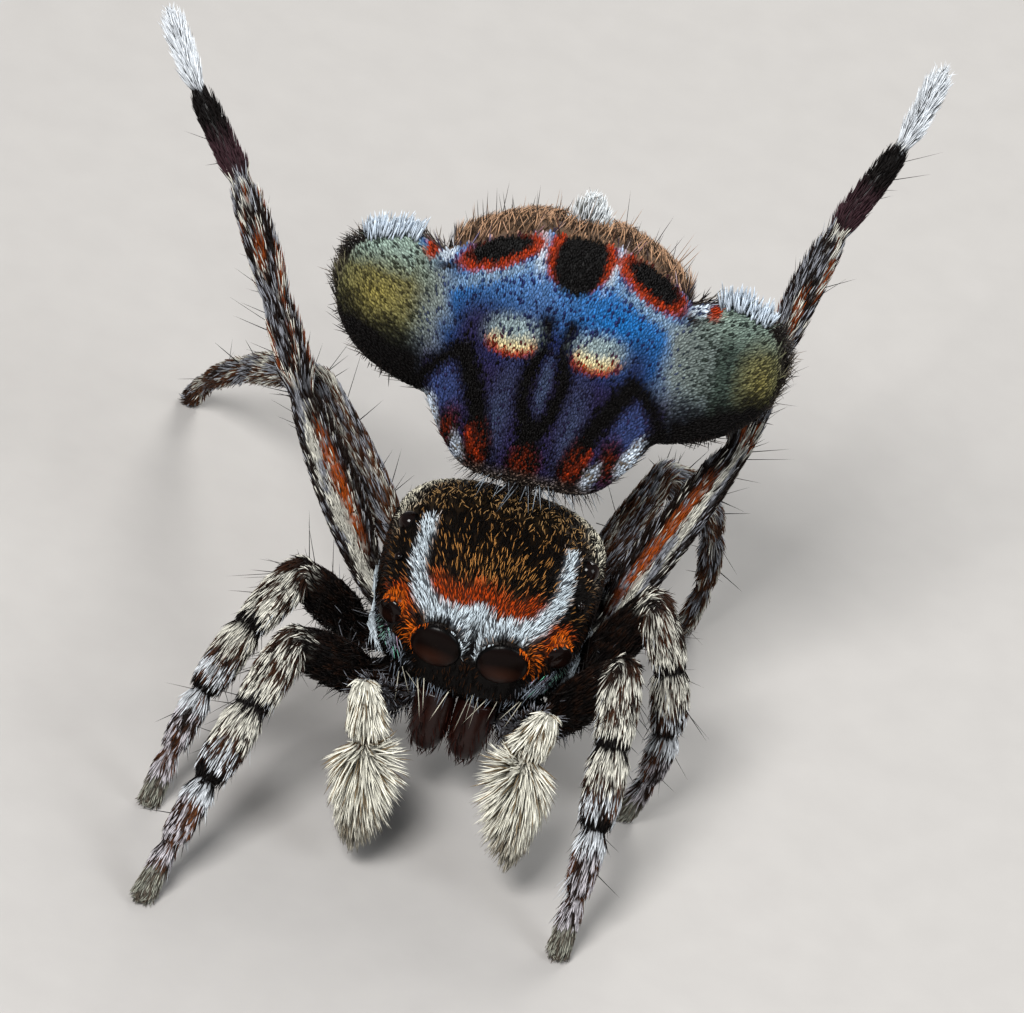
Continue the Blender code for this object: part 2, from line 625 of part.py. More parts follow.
def build_flap(side, finish):
    """A thick, crowned flap: convex in front and hollow behind, thinner to its edge."""
    rings = []
    lean = math.atan2(plate_y(4.0) - plate_y(3.0), 1.0)
    normal = Vector((0, -math.cos(lean), math.sin(lean)))
    for x, low, high, back, thick in FLAP:
        loop = []
        middle, half = (low + high) / 2, (high - low) / 2
        for i in range(FLAP_SIDES):
            turn = 2 * math.pi * i / FLAP_SIDES
            reach = math.sin(turn)
            z = middle + half * reach
            crown = FLAP_CROWN * (half / 0.6) * (1 - reach * reach)
            bulge = crown - back - 0.10 + thick * signed_power(math.cos(turn), 0.8)
            point = Vector((side * x, plate_y(z) + 0.14, z)) + normal * bulge
            loop.append(point)
        rings.append(loop)
    flap = loft("flap_" + ("left" if side > 0 else "right"), rings, finish)
    locks = []
    for count, first, last, length, width, rise in FLAP_FRINGES:
        for i in range(count):
            at, away = flap_rim(side, first + (last - first) * i / (count - 1))
            sway = Vector((random.uniform(-0.1, 0.1), random.uniform(-0.1, 0.2), 0))
            heading = away + Vector((0, 0.1, rise)) + sway
            own_length = length * random.uniform(0.9, 1.1)
            locks.append(lock(at - away * 0.12, heading, Vector((0, -1, 0)), own_length, width, 0.1))
    return tilt_fan(fuse(flap, locks))


def build_spinnerets(finish):
    base, end = Vector((0.05, 1.36, 4.10)), Vector((0.05, 1.44, 4.42))
    along = (end - base).normalized()
    across = Vector((1, 0, 0))
    rings = [ring(base.lerp(end, place), across, across.cross(along), 0.135 * share, 12)
             for place, share in ((0.0, 1.0), (0.4, 0.98), (0.7, 0.85), (0.9, 0.55), (1.0, 0.22))]
    return tilt_fan(loft("spinnerets", rings, finish))


def build_pedicel(finish):
    path = (Vector((0, 0.98, 1.42)), Vector((0.02, 1.16, 1.58)),
            Vector((0.06, 1.20, 1.90)), Vector((0.08, 1.12, 2.40)))
    rings = []
    across = Vector((1, 0, 0))
    for i, centre in enumerate(path):
        along = (path[min(i + 1, 3)] - path[max(i - 1, 0)]).normalized()
        wide = (across - along * across.dot(along)).normalized()
        rings.append(ring(centre, wide, wide.cross(along), 0.12, 12))
    return loft("pedicel", rings, finish)


def finish_nodes(nodes):
    """Puts the origin under the middle of the whole spider, and turns millimetres to metres."""
    low = Vector((min(v.co[k] for n in nodes for v in n.data.vertices) for k in range(3)))
    high = Vector((max(v.co[k] for n in nodes for v in n.data.vertices) for k in range(3)))
    base = Vector(((low.x + high.x) / 2, (low.y + high.y) / 2, low.z))
    for node in nodes:
        node.data.transform(Matrix.Scale(MM, 4) @ Matrix.Translation(-base))
        centre = sum((v.co for v in node.data.vertices), Vector()) / len(node.data.vertices)
        node.data.transform(Matrix.Translation(-centre))
        node.location = centre
        node.data.shade_smooth()


def main():
    clear_scene()
    random.seed(SEED)
    shell = material("carapace_shell", (0.035, 0.022, 0.015), 0.5)
    dark = material("dark_cuticle", (0.05, 0.025, 0.018), 0.45)
    banded = material("banded_leg", (0.30, 0.27, 0.24), 0.6)
    white = material("white_brush", (0.86, 0.84, 0.76), 0.6)
    blue = material("fan_scales", (0.05, 0.14, 0.45), 0.4, 0.3)
    green = material("flap_scales", (0.22, 0.26, 0.10), 0.4, 0.3)
    glass = material("eye_lens", (0.015, 0.008, 0.006), 0.06)

    sternum = build_sternum(dark)
    carapace = build_carapace(shell)
    eyes = []
    for name, (x, y, z), radius, detail in EYES:
        for side, label in ((-1, "right"), (1, "left")):
            eyes.append(ball(f"eye_{name}_{label}", (side * x, y, z), radius, detail, glass))
    clear_of(carapace, eyes)
    chelicerae = [clear_of(build_chelicera(side, dark), [sternum]) for side in (-1, 1)]

    legs = []
    coats = []
    femurs = {"right": [], "left": []}
    for spec in LEGS:
        made = build_leg(spec, banded)
        femur = made[0][0]
        side = spec[0].split("_")[2]
        clear_of(femur, [carapace, sternum, *femurs[side][-1:]])
        if spec[0] in SHARP_KNEES:
            clear_of(femur, [made[1][0]], GAP * 0.6)
        femurs[side].append(femur)
        legs.extend(node for node, locks in made)
        coats.extend(made)
    palps = []
    for spec in PALPS:
        arm, brush, bristles = build_palp(spec, dark, white)
        clear_of(arm, [carapace, sternum, femurs[spec[0].split("_")[1]][0], brush, *chelicerae])
        palps.extend((arm, brush))
        coats.append((brush, bristles))
    for node, locks in coats:
        fuse(node, locks)

    abdomen = build_abdomen(blue)
    flaps = [build_flap(side, green) for side in (-1, 1)]
    spinnerets = clear_of(build_spinnerets(dark), [abdomen])
    pedicel = clear_of(build_pedicel(dark), [abdomen, carapace])
    finish_nodes([sternum, carapace, *eyes, *chelicerae, *legs, *palps,
                  abdomen, *flaps, spinnerets, pedicel])


main()
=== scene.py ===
import math

import bmesh
import bpy
import numpy as np
from mathutils import Matrix, Vector


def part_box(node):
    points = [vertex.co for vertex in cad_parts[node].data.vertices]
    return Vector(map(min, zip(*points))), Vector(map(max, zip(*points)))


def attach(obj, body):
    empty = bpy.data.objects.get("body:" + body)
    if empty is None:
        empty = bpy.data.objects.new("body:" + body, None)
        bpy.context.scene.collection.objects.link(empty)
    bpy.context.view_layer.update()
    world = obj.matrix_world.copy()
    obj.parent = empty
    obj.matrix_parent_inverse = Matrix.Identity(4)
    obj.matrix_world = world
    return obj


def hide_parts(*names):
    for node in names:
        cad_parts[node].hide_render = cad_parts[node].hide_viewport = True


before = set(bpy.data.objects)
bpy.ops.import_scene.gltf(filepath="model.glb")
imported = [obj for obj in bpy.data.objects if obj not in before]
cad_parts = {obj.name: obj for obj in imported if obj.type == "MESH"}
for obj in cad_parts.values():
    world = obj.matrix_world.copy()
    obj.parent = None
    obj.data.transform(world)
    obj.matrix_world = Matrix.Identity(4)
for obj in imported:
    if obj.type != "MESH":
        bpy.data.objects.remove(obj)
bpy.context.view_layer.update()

# Everything is worked out in millimetres, with the spider facing -Y, its left side +X and the
# floor at z = 0, and moved into the frame when a piece is finished.
mm = 0.001
eyeMiddle = Vector((0.0, -1.045, 1.650))  # between the two big front eyes, in millimetres
eyeBoxes = [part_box("eye_anterior_median_" + side) for side in ("right", "left")]
eyeInFrame = sum((low + high for low, high in eyeBoxes), Vector()) / 4
toFrame = Matrix.Translation(eyeInFrame - eyeMiddle * mm) @ Matrix.Scale(mm, 4)
draws = np.random.default_rng(11)


def tone(red, green, blue):
    # a colour as the eye reads it, made linear
    return np.array([c / 12.92 if c <= 0.04045 else ((c + 0.055) / 1.055) ** 2.4 for c in (red, green, blue)])


def curve(points, place):
    # a smooth line through (place, value) pairs, the same one that the solids follow
    places, values = (np.array(column, float) for column in zip(*points))
    place = np.clip(np.asarray(place, float), places[0], places[-1])
    k = np.clip(np.searchsorted(places, place, "right") - 1, 0, len(places) - 2)
    order = np.arange(len(places))
    low, high = np.maximum(order - 1, 0), np.minimum(order + 1, len(places) - 1)
    slopes = (values[high] - values[low]) / (places[high] - places[low])
    step = places[k + 1] - places[k]
    t = (place - places[k]) / step
    return ((2 * t**3 - 3 * t**2 + 1) * values[k] + (t**3 - 2 * t**2 + t) * step * slopes[k]
            + (3 * t**2 - 2 * t**3) * values[k + 1] + (t**3 - t**2) * step * slopes[k + 1])


def curveVector(points, place):
    # the same through (place, (x, y, z)) pairs
    return np.stack([curve([(p, v[axis]) for p, v in points], place) for axis in range(3)], -1)


def signedPower(value, power):
    return np.sign(value) * np.abs(value) ** power


def unit(vectors):
    length = np.linalg.norm(vectors, axis=-1, keepdims=True)
    return vectors / np.maximum(length, 1e-9)


def fade(distance, width):
    # 1 inside an outline, 0 outside it, over a soft edge
    return np.clip(0.5 - distance / width, 0, 1)


def blend(share, low, high):
    # two tones mixed by a share for each point
    return low + share[:, None] * (high - low)


def pick(mask, inside, outside):
    return np.where(mask[:, None], inside, outside)


def waver(a, b, scale, seed=0.0):
    # uneven, smooth, between -1 and 1
    a, b = a * scale + seed, b * scale - seed * 1.7
    return (np.sin(a * 1.7 + 1.3 * np.sin(b * 1.1)) + np.sin(b * 2.3 + 1.7 * np.sin(a * 0.9))
            + np.sin((a + b) * 3.1)) / 3


def oval(x, z, middle, size, turn=0.0):
    # distance outside an oval, about in millimetres
    c, s = math.cos(math.radians(turn)), math.sin(math.radians(turn))
    dx, dz = x - middle[0], z - middle[1]
    along, across = dx * c + dz * s, dz * c - dx * s
    return (np.sqrt((along / size[0]) ** 2 + (across / size[1]) ** 2) - 1) * min(size)


def band(x, z, line, width):
    # distance outside a band that follows a line of points
    nearest = np.full(np.shape(x), 9.0)
    for (ax, az), (bx, bz) in zip(line, line[1:]):
        length = (bx - ax) ** 2 + (bz - az) ** 2
        t = np.clip(((x - ax) * (bx - ax) + (z - az) * (bz - az)) / length, 0, 1)
        nearest = np.minimum(nearest, np.hypot(x - ax - t * (bx - ax), z - az - t * (bz - az)))
    return nearest - width


class Paint:
    # the colour of each point of a skin, with a pale and a dark share for its hairs
    def __init__(self, colour, count):
        self.pale = np.tile(colour, (count, 1))
        self.dark = np.tile(colour, (count, 1))
        self.share = np.ones(count)

    def lay(self, mask, pale, dark=None, share=1.0):
        mask = np.clip(mask, 0, 1)
        self.pale += mask[:, None] * (pale - self.pale)
        self.dark += mask[:, None] * ((pale * 0.35 if dark is None else dark) - self.dark)
        self.share += mask * (share - self.share)


def setAttribute(mesh, name, values, kind):
    field = {"FLOAT": "value", "FLOAT_VECTOR": "vector", "FLOAT_COLOR": "color"}[kind]
    values = np.asarray(values, np.float32)
    if kind == "FLOAT_COLOR":
        values = np.concatenate([values, np.ones((len(values), 1), np.float32)], 1)
    mesh.attributes.new(name, kind, "POINT").data.foreach_set(field, values.ravel())


def setCoat(mesh, paint, lie, density, length, lift=None, underneath=0.5):
    # what the coat's tree reads from a skin, whose own colour is darker underneath
    count = len(mesh.vertices)
    setAttribute(mesh, "pale", paint.pale, "FLOAT_COLOR")
    setAttribute(mesh, "dark", paint.dark, "FLOAT_COLOR")
    setAttribute(mesh, "paleShare", paint.share, "FLOAT")
    share = paint.share[:, None]
    setAttribute(mesh, "markings", (paint.pale * share + paint.dark * (1 - share)) * underneath,
                 "FLOAT_COLOR")
    setAttribute(mesh, "lie", lie, "FLOAT_VECTOR")
    setAttribute(mesh, "coatDensity", np.broadcast_to(density, count), "FLOAT")
    setAttribute(mesh, "coatLength", np.broadcast_to(length, count), "FLOAT")
    setAttribute(mesh, "coatLift", np.broadcast_to(1.0 if lift is None else lift, count), "FLOAT")


def skinMesh(name, grid, tile=(0.0, 0.0, 1.0, 1.0)):
    # a closed skin from rows of points round an axis, with its own unwrap: round, and along
    rows, sides = grid.shape[:2]
    points = np.concatenate([grid.reshape(-1, 3), grid[0].mean(0)[None], grid[-1].mean(0)[None]])
    faces, places = [], []
    for i in range(rows - 1):
        for j in range(sides):
            k = (j + 1) % sides
            faces.append((i * sides + j, i * sides + k, (i + 1) * sides + k, (i + 1) * sides + j))
            places += [(j, i + 1), (j + 1, i + 1), (j + 1, i + 2), (j, i + 2)]
    first, last = rows * sides, rows * sides + 1
    for j in range(sides):
        k = (j + 1) % sides
        faces.append((k, j, first))
        places += [(j + 1, 1), (j, 1), (j + 0.5, 0)]
        faces.append(((rows - 1) * sides + j, (rows - 1) * sides + k, last))
        places += [(j, rows), (j + 1, rows), (j + 0.5, rows + 1)]
    mesh = bpy.data.meshes.new(name)
    mesh.from_pydata(points, [], faces)
    uv = np.array(places, float) / (sides, rows + 1)
    uv = uv * (tile[2], tile[3]) + tile[:2]
    mesh.uv_layers.new(name="OFBake").data.foreach_set("uv", uv.astype(np.float32).ravel())
    faceOutwards(mesh)
    mesh.shade_smooth()
    return mesh


def perRow(rows, sides):
    # a value of each of a skin's rows, for each of its points
    return np.concatenate([np.repeat(rows, sides, 0), rows[:1], rows[-1:]])


def perSide(sides, rows):
    # a value of each of a skin's sides, for each of its points
    return np.concatenate([np.tile(sides, rows), [0, 0]])


def around(sides, start=0.0):
    # the angles of a skin's sides
    return 2 * math.pi * (np.arange(sides) + start) / sides


def faceOutwards(mesh):
    mesh.update()
    volume = 0.0
    for face in mesh.polygons:
        corner = [mesh.vertices[v].co for v in face.vertices]
        for second, third in zip(corner[1:], corner[2:]):
            volume += corner[0].dot(second.cross(third))
    if volume < 0:
        mesh.flip_normals()


def pointsOf(mesh, field="co"):
    values = np.zeros(len(mesh.vertices) * 3, np.float32)
    if field == "co":
        mesh.vertices.foreach_get("co", values)
    else:
        mesh.vertex_normals.foreach_get("vector", values)
    return values.reshape(-1, 3).astype(float)


def linked(name, mesh):
    made = bpy.data.objects.new(name, mesh)
    bpy.context.scene.collection.objects.link(made)
    return made


def finishPiece(mesh, name, finish, nodes=()):
    # moves a finished mesh into the frame and names what it stands for
    mesh.materials.clear()
    mesh.materials.append(finish)
    mesh.transform(toFrame)
    piece = linked(name, mesh)
    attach(piece, "root")
    if nodes:
        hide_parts(*nodes)


# Nodes of shaders and trees
def addSockets(tree, direction, sockets):
    # the named inputs or outputs of a tree: name, kind, value at the start
    for label, kind, value in sockets:
        socket = tree.interface.new_socket(label, in_out=direction, socket_type="NodeSocket" + kind)
        if value is not None:
            socket.default_value = value


def feed(tree, node, inputs):
    # each input is given a value, or a socket to be linked to
    for label, value in dict(inputs).items():
        if isinstance(value, bpy.types.NodeSocket):
            tree.links.new(value, node.inputs[label])
        else:
            node.inputs[label].default_value = value
    return node


def addNode(tree, kind, inputs=()):
    return feed(tree, tree.nodes.new(kind), inputs)


def addMaths(tree, operation, *values, kind="ShaderNodeMath"):
    node = tree.nodes.new(kind)
    node.operation = operation
    return feed(tree, node, enumerate(values)).outputs[0]


def addScale(tree, vector, by):
    node = tree.nodes.new("ShaderNodeVectorMath")
    node.operation = "SCALE"
    return feed(tree, node, {0: vector, "Scale": by}).outputs[0]


def addAttribute(tree, label, output):
    # what a shader reads from a mesh
    node = tree.nodes.new("ShaderNodeAttribute")
    node.attribute_name = label
    return node.outputs[output]


def buildGrain():
    # fine uneven grain: a value for colour and a height for bump
    tree = bpy.data.node_groups.new("grain", "ShaderNodeTree")
    addSockets(tree, "INPUT", (("Place", "Vector", None), ("Scale", "Float", 1000.0),
                               ("Amount", "Float", 0.5)))
    addSockets(tree, "OUTPUT", (("Shade", "Float", None), ("Height", "Float", None)))
    given = addNode(tree, "NodeGroupInput").outputs
    place = {"Vector": given["Place"], "Scale": given["Scale"]}
    broad = addNode(tree, "ShaderNodeTexNoise", {**place, "Detail": 4.0}).outputs["Fac"]
    fine = addNode(tree, "ShaderNodeTexVoronoi", place).outputs["Distance"]
    lowest = addMaths(tree, "SUBTRACT", 1.0, given["Amount"])
    shade = addNode(tree, "ShaderNodeMapRange", {"Value": broad, "From Min": 0.3, "From Max": 0.7,
                                                 "To Min": lowest})
    height = addMaths(tree, "MULTIPLY_ADD", fine, -0.6, broad)
    addNode(tree, "NodeGroupOutput", {"Shade": shade.outputs["Result"], "Height": height})
    return tree


grain = buildGrain()
bumpHeight = 0.00002


def material(name, roughness, bump=0.3, scale=9000.0, amount=0.35, coat=0.0, gloss=0.2, attribute="markings"):
    # a skin's or coat's own colour, from its markings, broken up by the grain
    made = bpy.data.materials.new(name)
    made.use_nodes = True
    tree = made.node_tree
    shader = tree.nodes["Principled BSDF"]
    for label, value in (("Roughness", roughness), ("Specular IOR Level", gloss), ("Coat Weight", coat),
                         ("Coat Roughness", 0.12)):
        shader.inputs[label].default_value = value
    place = addNode(tree, "ShaderNodeTexCoord").outputs["Object"]
    texture = tree.nodes.new("ShaderNodeGroup")
    texture.node_tree = grain
    feed(tree, texture, {"Place": place, "Scale": scale, "Amount": amount})
    shaded = addScale(tree, addAttribute(tree, attribute, "Color"), texture.outputs["Shade"])
    tree.links.new(shaded, shader.inputs["Base Color"])
    if bump:
        raised = addNode(tree, "ShaderNodeBump", {"Strength": bump, "Distance": bumpHeight,
                                                  "Height": texture.outputs["Height"]})
        tree.links.new(raised.outputs["Normal"], shader.inputs["Normal"])
    return made


def hairMaterial(name, roughness, gloss=0.12, paintedRootShade=0.45):
    # a hair's colour was drawn when it was set, each a little different; it is darker at its root, as painted
    # shade among the hairs
    made = material(name, roughness, bump=0.0, scale=26000.0, amount=0.25, gloss=gloss,
                    attribute="hairColour")
    tree = made.node_tree
    base = tree.nodes["Principled BSDF"].inputs["Base Color"]
    along = addAttribute(tree, "alongHair", "Fac")
    gradient = addNode(tree, "ShaderNodeMapRange", {"Value": along, "To Min": paintedRootShade, "From Max": 0.6})
    shaded = addScale(tree, base.links[0].from_socket, gradient.outputs["Result"])
    tree.links.new(shaded, base)
    return made


# Single hairs and scales, one unit long and wide, that the trees repeat
def hairShape(name, stations, bend):
    # stations are (place, width, thickness); the bend lowers the tip
    points, faces, along = [], [], []
    for place, width, thick in stations[:-1]:
        z = bend * place * place
        points += [(-width / 2, place, z), (width / 2, place, z), (0, place, z + thick)]
        along += [place] * 3
    place = stations[-1][0]
    points.append((0, place, bend * place * place))
    along.append(place)
    for i in range(len(stations) - 2):
        for j in range(3):
            k = (j + 1) % 3
            faces.append((i * 3 + j, i * 3 + k, i * 3 + 3 + k, i * 3 + 3 + j))
    last = (len(stations) - 2) * 3
    faces += [(last + j, last + (j + 1) % 3, len(points) - 1) for j in range(3)]
    faces.append((2, 1, 0))
    mesh = bpy.data.meshes.new(name)
    mesh.from_pydata(points, [], faces)
    faceOutwards(mesh)
    mesh.shade_smooth()
    setAttribute(mesh, "alongHair", along, "FLOAT")
    setAttribute(mesh, "hairPlace", [(p[0], p[1], 0) for p in points], "FLOAT_VECTOR")
    return linked(name, mesh)


bristle = hairShape("bristle", ((0.0, 0.7, 0.5), (0.35, 1.0, 0.6), (0.72, 0.7, 0.4), (1.0, 0, 0)), -0.10)
longHair = hairShape("longHair", ((0.0, 1.0, 0.8), (0.25, 0.9, 0.7), (0.5, 0.7, 0.5), (0.75, 0.45, 0.3),
                                  (1.0, 0, 0)), -0.22)
scale = hairShape("scale", ((0.0, 0.45, 0.25), (0.35, 1.0, 0.34), (0.75, 0.85, 0.26), (1.0, 0, 0)), -0.06)


hairPatch = 0.003


def buildCoatTree(name, scatter):
    # scatter: "random" or "even" over a skin's faces, or "given" for a mesh of points
    tree = bpy.data.node_groups.new(name, "GeometryNodeTree")
    addSockets(tree, "OUTPUT", (("Geometry", "Geometry", None),))
    addSockets(tree, "INPUT", (
        ("Geometry", "Geometry", None), ("Hair", "Object", None), ("Density", "Float", 1000.0),
        ("Spacing", "Float", 0.02), ("Length", "Float", 0.1), ("Width", "Float", 0.01),
        ("Lift", "Float", 20.0), ("Tangle", "Float", 0.2), ("Seed", "Int", 1), ("Finish", "Material", None)))
    given = addNode(tree, "NodeGroupInput").outputs

    def named(label, kind="FLOAT"):
        node = tree.nodes.new("GeometryNodeInputNamedAttribute")
        node.data_type = kind
        return feed(tree, node, {"Name": label}).outputs["Attribute"]

    def maths(operation, *values):
        return addMaths(tree, operation, *values)

    def vectors(operation, *values):
        return addMaths(tree, operation, *values, kind="ShaderNodeVectorMath")

    def scaled(vector, by):
        return addScale(tree, vector, by)

    def drawn(low, high, step):
        node = tree.nodes.new("FunctionNodeRandomValue")
        node.data_type = "FLOAT"
        feed(tree, node, {"Seed": maths("ADD", given["Seed"], float(step))})
        ends = [s for s in node.inputs if s.name in ("Min", "Max") and s.enabled]
        for socket, value in zip(ends, (low, high)):
            socket.default_value = value
        return next(s for s in node.outputs if s.enabled)

    def store(geometry, label, kind, value, domain="POINT"):
        node = tree.nodes.new("GeometryNodeStoreNamedAttribute")
        node.data_type = kind
        node.domain = domain
        return feed(tree, node, {"Name": label, "Geometry": geometry, "Value": value}).outputs["Geometry"]

    if scatter == "given":
        placed = addNode(tree, "GeometryNodeMeshToPoints", {"Mesh": given["Geometry"]}).outputs
        outward = named("outward", "FLOAT_VECTOR")
    else:
        node = tree.nodes.new("GeometryNodeDistributePointsOnFaces")
        placed, density = node.outputs, named("coatDensity")
        feed(tree, node, {"Mesh": given["Geometry"], "Seed": given["Seed"]})
        if scatter == "even":
            node.distribute_method = "POISSON"
            feed(tree, node, {"Distance Min": given["Spacing"], "Density Max": given["Density"],
                              "Density Factor": density})
        else:
            feed(tree, node, {"Density": maths("MULTIPLY", given["Density"], density)})
        outward = placed["Normal"]

    points = store(placed["Points"], "rootPlace", "FLOAT_VECTOR", named("OFBake", "FLOAT_VECTOR"))
    isPale = maths("LESS_THAN", drawn(0.0, 1.0, 1), named("paleShare"))
    chosen = tree.nodes.new("ShaderNodeMix")
    chosen.data_type = "RGBA"
    feed(tree, chosen, {"Factor": isPale})
    colours = [s for s in chosen.inputs if s.name in ("A", "B") and s.type == "RGBA"]
    for socket, label in zip(colours, ("dark", "pale")):
        tree.links.new(named(label, "FLOAT_COLOR"), socket)
    mixed = next(s for s in chosen.outputs if s.type == "RGBA")
    points = store(points, "hairColour", "FLOAT_COLOR", scaled(mixed, drawn(0.62, 1.12, 2)))

    # the hair's heading: along the lie, lifted off the skin, with a little disorder
    lift = maths("MULTIPLY", maths("MULTIPLY", given["Lift"], named("coatLift")), drawn(0.72, 1.28, 3))
    lift = maths("RADIANS", lift)
    across = vectors("CROSS_PRODUCT", outward, named("lie", "FLOAT_VECTOR"))
    flat = vectors("NORMALIZE", vectors("CROSS_PRODUCT", across, outward))
    forward = scaled(flat, maths("COSINE", lift))
    upward = scaled(outward, maths("SINE", lift))
    spread = maths("MULTIPLY", given["Tangle"], drawn(-1.0, 1.0, 4))
    sideways = scaled(vectors("NORMALIZE", across), spread)
    heading = vectors("ADD", vectors("ADD", forward, upward), sideways)
    turned = addNode(tree, "FunctionNodeAxesToRotation", {"Primary Axis": heading, "Secondary Axis": outward})
    turned.primary_axis = "Y"
    turned.secondary_axis = "Z"

    # a hair's thickness goes with its width, and its bend with its length
    length = maths("MULTIPLY", maths("MULTIPLY", given["Length"], named("coatLength")), drawn(0.7, 1.2, 5))
    width = maths("MULTIPLY", given["Width"], drawn(0.7, 1.25, 6))
    size = addNode(tree, "ShaderNodeCombineXYZ", {"X": width, "Y": length, "Z": width})
    shape = addNode(tree, "GeometryNodeObjectInfo", {"Object": given["Hair"]})
    copies = addNode(tree, "GeometryNodeInstanceOnPoints", {
        "Points": points, "Instance": shape.outputs["Geometry"], "Rotation": turned.outputs["Rotation"],
        "Scale": size.outputs["Vector"]})
    real = addNode(tree, "GeometryNodeRealizeInstances", {"Geometry": copies.outputs["Instances"]})
    # each hair is a small patch of the map at its root's place
    patch = vectors("MULTIPLY", named("hairPlace", "FLOAT_VECTOR"), (hairPatch, hairPatch, 0.0))
    mapped = vectors("ADD", named("rootPlace", "FLOAT_VECTOR"), patch)
    whole = store(real.outputs["Geometry"], "OFBake", "FLOAT2", mapped, "CORNER")
    finish = addNode(tree, "GeometryNodeSetMaterial", {"Geometry": whole, "Material": given["Finish"]})
    addNode(tree, "NodeGroupOutput", {"Geometry": finish.outputs["Geometry"]})
    return tree


trees = {scatter: buildCoatTree(scatter + "Coat", scatter) for scatter in ("random", "even", "given")}
floorHeight = 0.02  # hairs that reach below this lie on the floor
spotSides = 40  # single hairs have their patches of the map in a square of so many by so many


def growCoat(name, mesh, scatter, hair, finish, slot, **sizes):
    # hairs or scales over a skin still in millimetres, as one plain mesh
    source = linked(name + "Source", mesh.copy())
    grown = source.modifiers.new("coat", "NODES")
    grown.node_group = trees[scatter]
    sizes.update(Hair=hair, Finish=finish)
    for socket in trees[scatter].interface.items_tree:
        if socket.item_type == "SOCKET" and socket.in_out == "INPUT" and socket.name in sizes:
            grown[socket.identifier] = sizes[socket.name]
    graph = bpy.context.evaluated_depsgraph_get()
    made = bpy.data.meshes.new_from_object(source.evaluated_get(graph), preserve_all_data_layers=True,
                                           depsgraph=graph)
    source.modifiers.clear()
    bpy.data.meshes.remove(source.data)
    for label in ("rootPlace", "hairPlace", "lie", "outward"):
        if label in made.attributes:
            made.attributes.remove(made.attributes[label])
    at = pointsOf(made)
    low = at[:, 2] < floorHeight
    at[low, 2] = floorHeight * np.exp(at[low, 2] / floorHeight - 1)
    made.vertices.foreach_set("co", at.astype(np.float32).ravel())
    made.shade_smooth()
    made.name = name
    finishPiece(made, name, finish)
    print(f"{name}: {sum(len(p.vertices) - 2 for p in made.polygons)} triangles")


def givenHairs(name, rows, finish, slot, width, tangle, seed):
    # single long hairs at chosen points; a row is (point, heading, outward, colour, length), and the
    # outward side is squared to the heading, so that the hair stands just as its heading says
    mesh = bpy.data.meshes.new(name + "Roots")
    mesh.from_pydata([tuple(row[0]) for row in rows], [], [])
    paint = Paint(np.zeros(3), len(rows))
    paint.pale = paint.dark = np.array([row[3] for row in rows])
    heading, outward = (unit(np.array([tuple(row[k]) for row in rows], float)) for k in (1, 2))
    setCoat(mesh, paint, heading, 1.0, [row[4] for row in rows])
    outward = unit(outward - heading * (heading * outward).sum(1, keepdims=True))
    setAttribute(mesh, "outward", outward, "FLOAT_VECTOR")
    places = np.arange(len(rows))
    spots = np.stack([places % spotSides, places // spotSides % spotSides, 0 * places], -1) / spotSides
    spots = (0.02, 0.02, 0) + 0.96 * spots
    setAttribute(mesh, "OFBake", spots, "FLOAT_VECTOR")
    growCoat(name, mesh, "given", longHair, finish, slot, Length=1.0, Width=width, Lift=0.0, Tangle=tangle,
             Seed=seed)


# Camera, floor and light
view = {"target": (0.01, -0.30, 2.60), "place": (0.01, -63.35, 51.86), "right": (0.9636, 0.1645, 0.2106),
        "up": (-0.2672, 0.5933, 0.7593),
        "lens": 351.6, "sensor": 36.0, "clip": (0.001, 5.0)}
studio = {"floorSize": 260.0, "floorTone": (0.605, 0.595, 0.585), "sky": (0.90, 0.93, 0.98),
          "skyStrength": 0.31,
          # place, size, power and colour of each lamp
          "lights": (((-18, -34, 48), 22.0, 0.060, (1.0, 0.99, 0.98)),
                     ((38, -14, 30), 22.0, 0.011, (0.95, 0.98, 1.0)),
                     ((10, 42, 36), 24.0, 0.026, (1.0, 0.99, 0.96)))}


def buildStudio():
    right, up = Vector(view["right"]), Vector(view["up"])
    toward = right.cross(up)
    camera = bpy.data.objects.new("camera", bpy.data.cameras.new("camera"))
    camera.data.sensor_width = view["sensor"]
    camera.data.lens = view["lens"]
    camera.data.clip_start, camera.data.clip_end = view["clip"]
    bpy.context.scene.collection.objects.link(camera)
    turn = Matrix((right, up, toward)).transposed().to_4x4()
    camera.matrix_world = Matrix.Translation(toFrame @ Vector(view["place"])) @ turn
    bpy.context.scene.camera = camera
    for place, size, power, colour in studio["lights"]:
        lamp = bpy.data.lights.new("softLight", "AREA")
        lamp.size = size * mm
        lamp.energy = power
        lamp.color = colour
        made = linked("softLight", lamp)
        at = Vector(place)
        turn = (at - Vector(view["target"])).to_track_quat("Z", "Y").to_matrix().to_4x4()
        made.matrix_world = Matrix.Translation(toFrame @ at) @ turn
    world = bpy.data.worlds.new("sky")
    world.use_nodes = True
    world.node_tree.nodes["Background"].inputs["Color"].default_value = (*studio["sky"], 1.0)
    world.node_tree.nodes["Background"].inputs["Strength"].default_value = studio["skyStrength"]
    bpy.context.scene.world = world
    bpy.context.scene.view_settings.view_transform = "Standard"
    half = studio["floorSize"] / 2
    mesh = bpy.data.meshes.new("floor")
    mesh.from_pydata([(-half, -half, 0), (half, -half, 0), (half, half, 0), (-half, half, 0)], [],
                     [(0, 1, 2, 3)])
    setAttribute(mesh, "markings", [tone(*studio["floorTone"])] * 4, "FLOAT_COLOR")
    mesh.materials.append(material("floorPlaster", 0.7, bump=0.05, scale=2500.0, amount=0.04))
    mesh.transform(toFrame)
    linked("floor", mesh)


buildStudio()
print("camera, lights and floor are in place")


